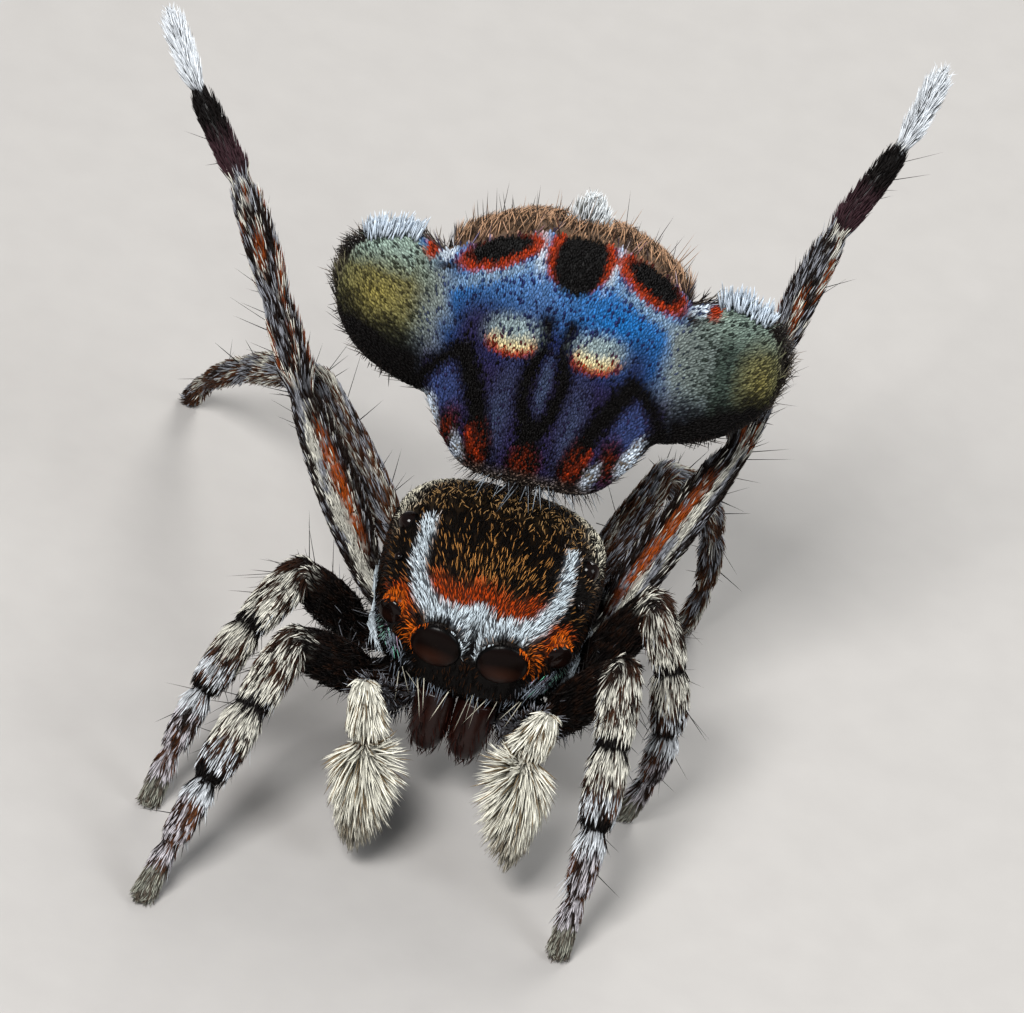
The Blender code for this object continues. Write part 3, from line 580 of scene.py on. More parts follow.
# Skins that are joined from several shapes
def unwrapByFacing(mesh, middle, reach, apart=0.0, wide=1.25):
    # front, back, sides, top and underside each have their own part of the map; apart moves what
    # is further out than wide to a place of its own beside the middle
    count = len(mesh.polygons)
    normal = np.zeros(count * 3, np.float32)
    mesh.polygons.foreach_get("normal", normal)
    normal = normal.reshape(-1, 3)
    sizes = np.zeros(count, int)
    mesh.polygons.foreach_get("loop_total", sizes)
    owner = np.repeat(np.arange(count), sizes)
    corner = np.zeros(len(mesh.loops), int)
    mesh.loops.foreach_get("vertex_index", corner)
    at = pointsOf(mesh)[corner] - np.array(middle)
    axis = np.argmax(np.abs(normal), 1)
    back = (normal[np.arange(count), axis] > 0).astype(int)
    axis, back = axis[owner], back[owner]
    across = np.where(axis == 0, at[:, 1] + apart * ((np.abs(at[:, 0]) > wide) - 0.5), at[:, 0])
    along = np.where(axis == 2, at[:, 1], at[:, 2])
    uv = np.stack([(axis + across / reach + 0.5) / 3, (back + along / reach + 0.5) / 2], -1)
    uv = np.clip(uv, 0.001, 0.999).astype(np.float32)
    mesh.uv_layers.new(name="OFBake").data.foreach_set("uv", uv.ravel())


def oneSkin(name, grids, voxel, soften):
    # joins closed shapes into one seamless skin
    work = linked(name, joined(name, [skinMesh(name, grid) for grid in grids]))
    remesh = work.modifiers.new("oneSkin", "REMESH")
    remesh.mode = "VOXEL"
    remesh.voxel_size = voxel
    smooth = work.modifiers.new("soften", "SMOOTH")
    smooth.iterations = soften
    graph = bpy.context.evaluated_depsgraph_get()
    mesh = bpy.data.meshes.new_from_object(work.evaluated_get(graph))
    work.modifiers.clear()
    bpy.data.objects.remove(work)
    faceOutwards(mesh)
    mesh.shade_smooth()
    return mesh


def joined(name, meshes):
    whole = bmesh.new()
    for mesh in meshes:
        whole.from_mesh(mesh)
    made = bpy.data.meshes.new(name)
    whole.to_mesh(made)
    whole.free()
    return made


# Head and chest
head = {
    "front": -1.13, "rear": 1.17, "floor": 1.10, "power": 2.7, "inset": 0.02, "rows": 150, "sides": 150,
    "voxel": 0.02, "soften": 3, "rimForward": 0.22,
    "halfWidth": ((0.0, 0.40), (0.07, 0.62), (0.17, 0.77), (0.36, 0.87), (0.60, 0.91), (0.78, 0.84),
                  (0.92, 0.60), (1.0, 0.30)),
    "roof": ((0.0, 1.62), (0.06, 1.86), (0.17, 2.00), (0.36, 2.11), (0.55, 2.17), (0.70, 2.12), (0.84, 1.92),
             (0.95, 1.62), (1.0, 1.42)),
    "keel": ((0.0, 1.24), (0.10, 1.02), (0.5, 0.94), (0.9, 1.00), (1.0, 1.20)),
    "black": tone(0.050, 0.036, 0.030), "brown": tone(0.23, 0.14, 0.08), "gold": tone(0.74, 0.52, 0.28),
    "straw": tone(0.66, 0.52, 0.34),
    "orange": tone(0.75, 0.28, 0.07), "bright": tone(0.88, 0.42, 0.08), "white": tone(0.88, 0.93, 0.96),
    "cream": tone(0.88, 0.86, 0.78),
    "lilac": tone(0.57, 0.61, 0.66), "iris": (tone(0.45, 0.80, 0.66), tone(0.74, 0.62, 0.72)),
    # the white band, from over the front eyes back to the rear eyes, as (x, y) on one side
    "band": ((0.0, -1.00), (0.20, -0.985), (0.36, -0.93), (0.47, -0.82), (0.535, -0.68), (0.570, -0.50),
             (0.578, -0.30), (0.585, -0.06)),
    "crescent": ((0.0, -0.76), (0.17, -0.80), (0.32, -0.79), (0.42, -0.72)),
    "coat": dict(Density=2150.0, Length=0.10, Width=0.0086, Lift=17.0, Tangle=0.30, Seed=3),
    # width, tangle and seed of the single hairs
    "brushHairs": (0.010, 0.10, 9), "setae": (0.0078, 0.2, 10),
    # how many of each kind on a side: clumps, those of them along the cheek, and hairs in a clump
    "clumps": 40, "alongCheek": 22, "clumpHairs": 9,
    "underEyes": 34, "cheekHairs": 120, "longest": 7, "edgeSetae": 9,
    "rimHairs": (("anterior_median", 150), ("anterior_lateral", 70)),
}
head["length"] = head["rear"] - head["front"]
eyes = {  # place, radius, and how the lens faces
    "anterior_median": ((0.270, -1.045, 1.650), 0.212, (0.12, -1.0, -0.10)),
    "anterior_lateral": ((0.680, -0.800, 1.665), 0.115, (0.45, -1.0, 0.0)),
    "posterior_median": ((0.752, -0.420, 1.890), 0.038, (1.0, -0.15, 0.6)),
    "posterior_lateral": ((0.742, 0.000, 1.925), 0.095, (1.0, -0.10, 0.7)),
}
# the ring of skin behind a front lens: how far behind the rim, and its share of the lens's radius
socketShape = ((0.0, 0.05), (0.0, 0.90), (0.08, 1.03), (0.45, 1.08), (1.1, 0.95), (1.7, 0.40))


def headPoint(place, turn):
    half, roof, keel = (curve(head[part], place) for part in ("halfWidth", "roof", "keel"))
    x = (half - head["inset"]) * signedPower(np.cos(turn), 2 / head["power"])
    rise = signedPower(np.sin(turn), 2 / head["power"])
    z = (roof + keel) / 2 + ((roof - keel) / 2 - head["inset"]) * rise
    y = head["front"] + head["inset"] + (head["length"] - 2 * head["inset"]) * place
    return np.stack([x, y + 0 * x, np.maximum(z, head["floor"])], -1)


def cheek(y):
    # half the head's width at a depth
    return float(curve(head["halfWidth"], (y - head["front"]) / head["length"]))


def eyeRim(name, side):
    # middle of a lens's rim, and the way that it faces
    centre, radius, facing = eyes[name]
    facing = unit(np.array(facing) * (side, 1, 1))
    return np.array(centre) * (side, 1, 1) + facing * head["rimForward"] * radius, facing


def socketGrid(name, side):
    rim, facing = eyeRim(name, side)
    radius = eyes[name][1]
    across = unit(np.cross(facing, (0, 0, 1)))
    upright = np.cross(across, facing)
    turn = around(40)[:, None]
    circle = across * np.cos(turn) + upright * np.sin(turn)
    rows = [rim - facing * behind * radius + radius * share * circle for behind, share in socketShape]
    return np.array(rows)


def paintHead(at, normal):
    x, y, z = at.T
    side = np.abs(x)
    paint = Paint(head["black"], len(at))
    top = fade(0.35 - normal[:, 2], 0.5)
    uneven = waver(x, y, 9.0)
    fleck = waver(x, y, 40.0, 3.0)
    # rear: black with scattered gold, and cream toward the edge
    paint.lay(np.ones(len(at)), head["gold"] * 0.7, head["black"], 0.08)
    paint.lay(fade(0.05 - y + 0.1 * uneven, 0.3) * top, head["straw"], head["black"], 0.26 + 0.14 * fleck)
    edge = np.hypot(x / 0.88, (y - 0.05) / 0.80)
    paint.lay(fade(0.84 - edge + 0.04 * uneven, 0.14) * fade(-0.05 - y, 0.3), head["cream"], head["black"],
              0.50)
    # middle: gold flames over black, thinning out behind
    flame = fade(oval(x, y, (-0.02, -0.46), (0.42, 0.25)), 0.20)
    paint.lay(flame * top, head["gold"], head["black"], 0.30 + 0.16 * fleck)
    ember = fade(band(side, y, head["crescent"], 0.145) + 0.03 * uneven, 0.10) * top
    paint.lay(ember, head["orange"] * 0.7 + head["gold"] * 0.3, head["black"], 0.46)
    crescent = fade(band(side, y, head["crescent"], 0.085) + 0.03 * uneven + 0.025 * fleck, 0.07) * top
    paint.lay(crescent, head["orange"], head["orange"] * 0.25 + head["gold"] * 0.05, 0.66)
    # sides: dark brown, with orange round the eyes and a pale line behind them
    flank = fade(normal[:, 2] - 0.45, 0.3)
    paint.lay(flank, head["brown"], head["black"], 0.38)
    middle = eyes["anterior_lateral"][0]
    ring = np.sqrt((side - middle[0]) ** 2 + (y - middle[1]) ** 2 + (z - middle[2]) ** 2)
    orbit = fade(ring - 0.24, 0.10) * fade(1.70 - z, 0.1)
    paint.lay(orbit, head["orange"] * 0.9, head["black"], 0.52)
    paint.lay(fade(ring - 0.165, 0.06) * fade(1.69 - z, 0.06) * fade(y + 0.66, 0.08), head["bright"],
              head["orange"] * 0.4, 0.80)
    paint.lay(fade(oval(side, z, (0.51, 1.66), (0.05, 0.16), 12), 0.06) * fade(y + 0.86, 0.2), head["bright"],
              head["black"], 0.62)
    paint.lay(fade(oval(y, z, (-0.20, 1.93), (0.12, 0.07)), 0.05) * flank, head["gold"], head["brown"], 0.7)
    stripe = band(y, z, ((0.15, 1.86), (0.45, 1.86), (0.80, 1.72), (0.98, 1.50)), 0.055)
    paint.lay(fade(stripe + 0.02 * uneven, 0.05) * fade(0.45 - side, 0.1), head["cream"], head["black"], 0.72)
    # the white band over the front eyes
    width = 0.060 + 0.035 * fade(side - 0.30, 0.3)
    white = (fade(band(side, y, head["band"], width) + 0.014 * uneven + 0.01 * fleck, 0.035)
             * fade(0.15 - normal[:, 2], 0.3))
    peak = fade(oval(x, y, (0.0, -0.91), (0.10, 0.07)), 0.04) * top
    # it runs forward down to the front lenses
    ahead = (fade(y - np.interp(side, *zip(*head["band"])), 0.03) * fade(side - 0.41, 0.05)
             * fade(0.10 - normal[:, 2], 0.2))
    white = np.maximum(white, np.maximum(peak, ahead * (y > -1.06)))
    paint.lay(white, head["white"], head["lilac"] * 0.30, 0.86)
    nose = fade(side - 0.085, 0.03) * fade(1.62 - z, 0.05) * fade(y + 1.0, 0.1)
    paint.lay(nose, head["black"], head["black"], 0.5)
    paint.lay(nose * fade(np.abs(side - 0.062) - 0.016, 0.01), head["white"], head["black"], 0.9)
    # face below the eyes, silvery and iridescent lower edge of the sides
    paint.lay(fade(z - 1.55, 0.06) * fade(y + 0.70, 0.2), head["brown"] * 0.7, head["black"] * 0.7, 0.25)
    margin = (fade(band(y, z, ((-1.0, 1.40), (-0.6, 1.42), (0.0, 1.38), (0.6, 1.28)), 0.07), 0.05)
              * fade(0.36 - side, 0.1))
    paint.lay(margin, head["lilac"] * 1.1, head["black"], 0.40 + 0.25 * fleck)
    paint.lay(margin * fade(oval(y, z, (-0.77, 1.44), (0.11, 0.05)), 0.05), tone(0.58, 0.78, 0.70),
              head["black"] * 2, 0.34)
    return paint, top, flame, white, nose, np.maximum(crescent, fade(ring - 0.22, 0.08))


def buildHead():
    rows, sides = head["rows"], head["sides"]
    # rows are closest together at the face and at the rear
    place = 0.5 - 0.5 * np.cos(np.linspace(0.0, math.pi, rows))
    turn = around(sides, 0.5)
    sockets = [socketGrid(name, side) for name in ("anterior_median", "anterior_lateral") for side in (-1, 1)]
    mesh = oneSkin("headSkin", [headPoint(place[:, None], turn[None, :])] + sockets,
                   head["voxel"], head["soften"])
    unwrapByFacing(mesh, (0, 0, 1.55), 2.4)
    at, normal = pointsOf(mesh), pointsOf(mesh, "normal")
    x, y, z = at.T
    paint, top, flame, white, nose, short = paintHead(at, normal)
    # hairs fan out from between the front eyes, lie in disorder at the rear, and back and down
    # at the sides
    behind = fade(-0.15 - y, 0.5)
    sway, turnAbout = waver(x, y, 21.0, 1.0), waver(x, y, 17.0, 6.0)
    lie = np.stack([x * 0.85 * fade(y + 0.2, 0.6) + 0.9 * behind * sway,
                    0.9 - 0.7 * behind * (turnAbout > 0.1), 0 * x], -1)
    lie = lie * top[:, None] + (1 - top[:, None]) * np.stack([0 * x, 0.35 + 0 * x, -0.8 + 0 * x], -1)
    faceOn = fade(y + 0.98, 0.1) * (1 - top)
    lie = lie * (1 - faceOn[:, None]) + faceOn[:, None] * np.stack([0.2 * x, 0 * x, -1 + 0 * x], -1)
    lie[nose > 0.5] = (0, 0.2, 1)
    density = fade(1.12 - z, 0.02)
    for name, (_, radius, _) in eyes.items():
        for side in (-1, 1):
            rim, facing = eyeRim(name, side)
            ahead = (at - rim) @ facing
            away = np.linalg.norm(at - rim - ahead[:, None] * facing, axis=1)
            density = density * (1 - fade(away - radius * 0.96, 0.01) * fade(-0.25 * radius - ahead, 0.02)
                                 * (ahead < 3 * radius))
            # hairs on a socket lean back from its lens
            near = (fade(away - radius * 1.25, 0.05) * fade(np.abs(ahead + 0.5 * radius) - radius, 0.05)
                    * name.startswith("anterior"))
            lie = lie + near[:, None] * (0.8 * unit(at - rim - ahead[:, None] * facing) - 0.6 * facing)
    density = density * (1.0 + 0.25 * white) * (1 - 0.45 * faceOn * (z < 1.5))
    length = ((0.85 - 0.30 * fade(y + 1.0, 0.3) + 0.15 * white + 0.15 * flame - 0.25 * behind)
              * (1 - 0.32 * short))
    setCoat(mesh, paint, lie, density, length, 1.0 + 0.3 * flame - 0.10 * behind, 0.12)
    for name, share in (("headCoatFront", y < -0.35), ("headCoatRear", y >= -0.35)):
        mesh.attributes["coatDensity"].data.foreach_set("value", (density * share).astype(np.float32))
        growCoat(name, mesh, "random", bristle, headHair, "carapace", **head["coat"])
    finishPiece(mesh, "headSkin", headSkinFinish, ("carapace",))


def buildFaceHairs():
    white, dark = [], []
    for side in (-1, 1):
        # a line of white hair follows each cheek and ends in a tuft that spreads inward
        upper, foot = Vector((side * 0.90, 0.10, 1.36)), Vector((side * 0.83, -0.48, 1.24))
        for i in range(head["clumps"]):
            tuft = i >= head["alongCheek"]
            root = foot if tuft else upper.lerp(foot, draws.uniform(0, 1))
            root = root + Vector((draws.uniform(-0.02, 0.02), draws.uniform(-0.07, 0.07),
                                  draws.uniform(-0.03, 0.03)))
            spread = Vector((-side * draws.uniform(0.30, 1.0), -0.8, draws.uniform(-0.6, -0.2)))
            clump = spread.normalized() if tuft else (foot - upper).normalized()
            shade = draws.uniform(0.45, 1.0)
            reach = draws.uniform(0.22, 0.32) if tuft else draws.uniform(0.12, 0.22)
            for _ in range(head["clumpHairs"]):
                at = root + Vector(draws.uniform(-0.010, 0.010, 3))
                tip = clump + Vector(draws.uniform(-0.06, 0.06, 3))
                colour = head["white"] * shade * draws.uniform(0.8, 1.15)
                white.append((at, tip, Vector((side, -0.4, 0.4)), colour, reach * draws.uniform(0.7, 1.1)))
        # silvery hairs under the eyes, longest below the middle
        for _ in range(head["underEyes"]):
            x = side * draws.uniform(0.06, 0.62)
            at = Vector((x, -1.07 + 0.55 * max(0.0, abs(x) - 0.30), draws.uniform(1.24, 1.34)))
            heading = Vector((-0.5 * x + draws.uniform(-0.3, 0.3), draws.uniform(-0.8, -0.2), -1.0))
            dark.append((at, heading, Vector((0, -1, 0.2)), head["lilac"] * draws.uniform(0.2, 1.1),
                         draws.uniform(0.10, 0.20)))
        # finer ones, some of them iridescent, slant down and forward along the cheek
        for i in range(head["cheekHairs"]):
            y = draws.uniform(-1.0, -0.45)
            at = Vector((side * (cheek(y) - 0.03), y, draws.uniform(1.36, 1.54)))
            colour = head["lilac"] if draws.random() < 0.8 else head["iris"][i % 2]
            dark.append((at, Vector((side * -0.5, -1.0, -0.5)), Vector((side, -0.6, 0)),
                         colour * draws.uniform(0.3, 1.2), draws.uniform(0.07, 0.15)))
        for _ in range(head["longest"]):
            x = side * draws.uniform(0.06, 0.52)
            at = Vector((x, -1.08 + 0.4 * max(0.0, abs(x) - 0.3), draws.uniform(1.20, 1.34)))
            heading = Vector((-1.2 * x + draws.uniform(-0.4, 0.4), -0.8, draws.uniform(-1.1, -0.4)))
            dark.append((at, heading, Vector((0, -1, 0.2)), head["cream"] * draws.uniform(0.5, 1.0),
                         draws.uniform(0.22, 0.42)))
        # short hairs stand round the rims of the front lenses, dark over them, orange beside and white
        # between them; the dark ones over the big lenses are partly their brow and partly painted shade under
        # it
        for name, count in head["rimHairs"]:
            rim, facing = eyeRim(name, side)
            radius = eyes[name][1]
            across = unit(np.cross(facing, (0, 0, 1))) * side
            upright = np.cross(across, facing) * side
            for i in range(count):
                turn = math.radians(draws.uniform(-60, 240))
                away = -across * math.cos(turn) + upright * math.sin(turn)
                at = rim + away * radius * draws.uniform(1.0, 1.05) - facing * radius * 0.08
                over = max(0.0, math.sin(turn))
                heading = facing * 0.9 + away * draws.uniform(-0.35, 0.25) + (0, 0, -0.2)
                beside = math.cos(turn) if name == "anterior_median" else math.sin(turn)
                if beside > 0.45:
                    colour = ((head["bright"] if draws.random() < 0.75 else head["orange"])
                              * draws.uniform(0.7, 1.0))
                elif name == "anterior_median" and beside < -0.35:
                    if i % 3:
                        continue
                    colour = head["white"] * draws.uniform(0.7, 1.0)
                    heading = facing * 0.3 - upright * 0.9 + away * draws.uniform(0.0, 0.3)
                else:
                    # dark hairs; over the big lenses they are partly painted shade under the brow
                    colour = head["black"] * draws.uniform(0.8, 2.0)
                dark.append((at, heading, away, colour, draws.uniform(0.025, 0.045) + 0.02 * over))
        # dark setae stand out beside the eyes and over the rear edge
        for _ in range(head["edgeSetae"]):
            y = draws.uniform(-0.9, 0.9)
            at = Vector((side * (cheek(y) - 0.06), y, draws.uniform(1.55, 1.85)))
            heading = Vector((side * 1.0, draws.uniform(-0.7, 0.1), draws.uniform(-0.1, 0.7)))
            dark.append((at, heading, Vector((0, 0, 1)), head["black"], draws.uniform(0.18, 0.34)))
    givenHairs("faceLongHairs", white, brushFinish, "carapace", *head["brushHairs"])
    givenHairs("headSetae", dark, darkHairFinish, "carapace", *head["setae"])


headSkinFinish = material("headCuticle", 0.5, bump=0.5, scale=12000.0, amount=0.4, gloss=0.12)
headHair = hairMaterial("headHair", 0.55, 0.06, paintedRootShade=0.5)
brushFinish = hairMaterial("whiteBrush", 0.5, 0.20, paintedRootShade=0.6)
darkHairFinish = hairMaterial("darkHair", 0.40, 0.10, paintedRootShade=0.9)
buildHead()
buildFaceHairs()
print("head is dressed")


# a front lens's bulge before and behind its rim, and where its dark edge starts, as shares of its
# radius; forward is how far the smaller front pair stands out further, in millimetres
lens = {"before": 0.36, "behind": 0.25, "rows": 44, "sides": 60, "rim": 0.93, "forward": 0.02}


def buildEyes():
    # the big lenses are wide shallow domes, near black, with a painted brown glow of light in their lower
    # half
    dark, deep, rim = tone(0.045, 0.022, 0.018), tone(0.17, 0.09, 0.06), tone(0.02, 0.018, 0.018)
    wide = material("eyeLensWide", 0.28, bump=0.0, amount=0.15, scale=4000.0, gloss=0.07)
    small = material("eyeLensSmall", 0.08, bump=0.0, amount=0.15, scale=4000.0, coat=0.03, gloss=0.14)
    for name, (centre, radius, _) in eyes.items():
        frontal = name.startswith("anterior")
        for side, label in ((-1, "right"), (1, "left")):
            middle, facing = eyeRim(name, side)
            if not frontal:
                middle = np.array(centre) * (side, 1, 1)
            elif name == "anterior_lateral":
                middle = middle + facing * lens["forward"]
            across = unit(np.cross(facing, (0, 0, 1)))
            upright = np.cross(across, facing)
            tilt = np.linspace(0.02, math.pi - 0.02, lens["rows"])[:, None, None]
            turn = around(lens["sides"])[None, :, None]
            bulge = np.where(np.cos(tilt) > 0, lens["before"], lens["behind"]) if frontal else 1.0
            circle = across * np.cos(turn) + upright * np.sin(turn)
            grid = middle + radius * (facing * np.cos(tilt) * bulge + np.sin(tilt) * circle)
            mesh = skinMesh("eye", grid)
            at = pointsOf(mesh) - middle
            high = np.clip(at @ upright / radius, -1, 1)
            away = np.linalg.norm(at - (at @ facing)[:, None] * facing, axis=1) / radius
            # painted glow: light seen inside the lens, brown low in its middle, faint in the smaller lenses
            paintedGlow = fade(oval(at @ across / radius, high, (0, -0.35), (0.62, 0.36)), 0.5)
            paintedGlow = (paintedGlow * fade(away - 0.84, 0.1))[:, None]
            colour = dark + paintedGlow * (deep - dark) * (1.0 if name == "anterior_median" else 0.25)
            setAttribute(mesh, "markings", pick(away > lens["rim"], rim, colour), "FLOAT_COLOR")
            finish = wide if name == "anterior_median" else small
            finishPiece(mesh, f"eye_{name}_{label}_lens", finish, (f"eye_{name}_{label}",))


buildEyes()
print("eyes are in")

# Raised abdomen with its two flaps
fan = {
    "front": ((0.0, 0.62, 2.24), (0.06, 0.32, 2.33), (0.2, 0.20, 2.62), (0.4, 0.30, 3.12),
              (0.6, 0.46, 3.62), (0.78, 0.66, 4.06), (0.90, 0.92, 4.38), (0.96, 1.13, 4.42),
              (1.0, 1.32, 4.30)),
    "back": ((0.0, 0.86, 2.19), (0.06, 1.15, 2.16), (0.2, 1.52, 2.40), (0.4, 1.76, 2.95), (0.6, 1.80, 3.45),
             (0.78, 1.74, 3.86), (0.90, 1.66, 4.08), (0.96, 1.60, 4.16), (1.0, 1.50, 4.22)),
    "width": ((0.0, 0.18), (0.06, 0.47), (0.2, 0.74), (0.34, 0.95), (0.42, 1.05), (0.6, 1.08),
              (0.78, 1.05), (0.84, 0.92), (0.92, 0.60), (1.0, 0.20)),
    "edge": 0.97, "setback": 0.17, "tilt": -3.5, "middle": 3.5, "inset": 0.02, "voxel": 0.02,
    # a flap from its root to its outer edge: x, lower edge, upper edge, set back, half thickness
    "flap": ((0.99, 2.96, 4.12, 0.00, 0.115), (1.15, 3.00, 4.17, 0.00, 0.125),
             (1.35, 3.06, 4.18, 0.02, 0.130), (1.55, 3.16, 4.12, 0.06, 0.125),
             (1.70, 3.28, 4.03, 0.13, 0.110), (1.80, 3.41, 3.91, 0.21, 0.085),
             (1.86, 3.56, 3.76, 0.30, 0.045)),
    "flapRoot": 0.88, "crown": 0.13, "flapDepth": 0.14, "soften": 10,
    # height up the leaning face: what is added to the height in the picture, and its scale
    "riseStart": 0.531, "riseScale": 0.9865,
    "sky": tone(0.34, 0.51, 0.72), "azure": tone(0.13, 0.43, 0.70), "deep": tone(0.13, 0.17, 0.36),
    "violet": tone(0.155, 0.135, 0.26),
    "slate": tone(0.23, 0.27, 0.37), "lobe": tone(0.20, 0.25, 0.42), "black": tone(0.022, 0.016, 0.016),
    "red": tone(0.64, 0.20, 0.06),
    "rust": tone(0.38, 0.12, 0.04), "cream": tone(0.87, 0.81, 0.62), "ice": tone(0.58, 0.65, 0.66),
    "white": tone(0.82, 0.87, 0.92),
    "mist": tone(0.50, 0.54, 0.53), "moss": tone(0.54, 0.50, 0.27), "pool": tone(0.59, 0.67, 0.62),
    "green": tone(0.25, 0.30, 0.27),
    "fur": tone(0.76, 0.60, 0.47), "ash": tone(0.42, 0.38, 0.34), "soot": tone(0.12, 0.09, 0.08),
    # black stripes, as (distance from the middle line, height)
    "inner": ((0.105, 3.80), (0.09, 3.60), (0.14, 3.42), (0.145, 3.28), (0.115, 3.10), (0.04, 2.94)),
    "outer": ((0.69, 3.45), (0.58, 3.26), (0.47, 3.04), (0.40, 2.83), (0.34, 2.68)),
    "arch": ((0.70, 3.45), (0.80, 3.41), (0.89, 3.31), (0.98, 3.18), (1.06, 3.06)),
    "scales": dict(Density=9000.0, Spacing=0.0205, Length=0.044, Width=0.021, Lift=11.0, Tangle=0.30, Seed=5),
    "furCoat": dict(Density=1180.0, Length=0.165, Width=0.0088, Lift=19.0, Tangle=0.70, Seed=6),
}


def fanFace(z):
    # depth of the fan's face at a height
    low, high = fan["front"][3], fan["front"][5]
    return low[1] + (high[1] - low[1]) * (z - low[2]) / (high[2] - low[2])


def abdomenGrid(rows=90, sides=110):
    place = np.linspace(0, 1, rows)[:, None]
    turn = 2 * math.pi * (np.arange(sides) / sides)
    front = curveVector([(p, (0, y, z)) for p, y, z in fan["front"]], place)
    back = curveVector([(p, (0, y, z)) for p, y, z in fan["back"]], place)
    wide, deep = np.cos(turn), np.sin(turn)
    power = np.where(deep < 0, 2 / 3.0, 2 / 2.2)
    x = curve(fan["width"], place) * signedPower(wide, power)
    reach = np.abs(deep) ** power
    depth = np.where(deep < 0, fan["setback"] * (1 - reach), fan["setback"] + (1 - fan["setback"]) * reach)
    grid = front + (back - front) * depth[..., None]
    grid[..., 0] = np.clip(x, -fan["edge"], fan["edge"])
    return grid


def flapGrid(side, rows=50, sides=70):
    columns = [[(row[0], row[k]) for row in fan["flap"]] for k in range(1, 5)]
    x = np.linspace(fan["flapRoot"], fan["flap"][-1][0], rows)[:, None]
    low, high, setBack, thick = (curve(column, x) for column in columns)
    turn = 2 * math.pi * (np.arange(sides) / sides)
    reach = np.sin(turn)
    half = (high - low) / 2
    z = (low + high) / 2 + half * reach
    crown = fan["crown"] * (half / 0.6) * (1 - reach**2)
    bulge = crown - setBack - 0.10 + thick * signedPower(np.cos(turn), 0.8)
    lean = math.atan2(fanFace(4.0) - fanFace(3.0), 1.0)
    return np.stack([side * x + 0 * z, fanFace(z) + fan["flapDepth"] - math.cos(lean) * bulge,
                     z + math.sin(lean) * bulge], -1)


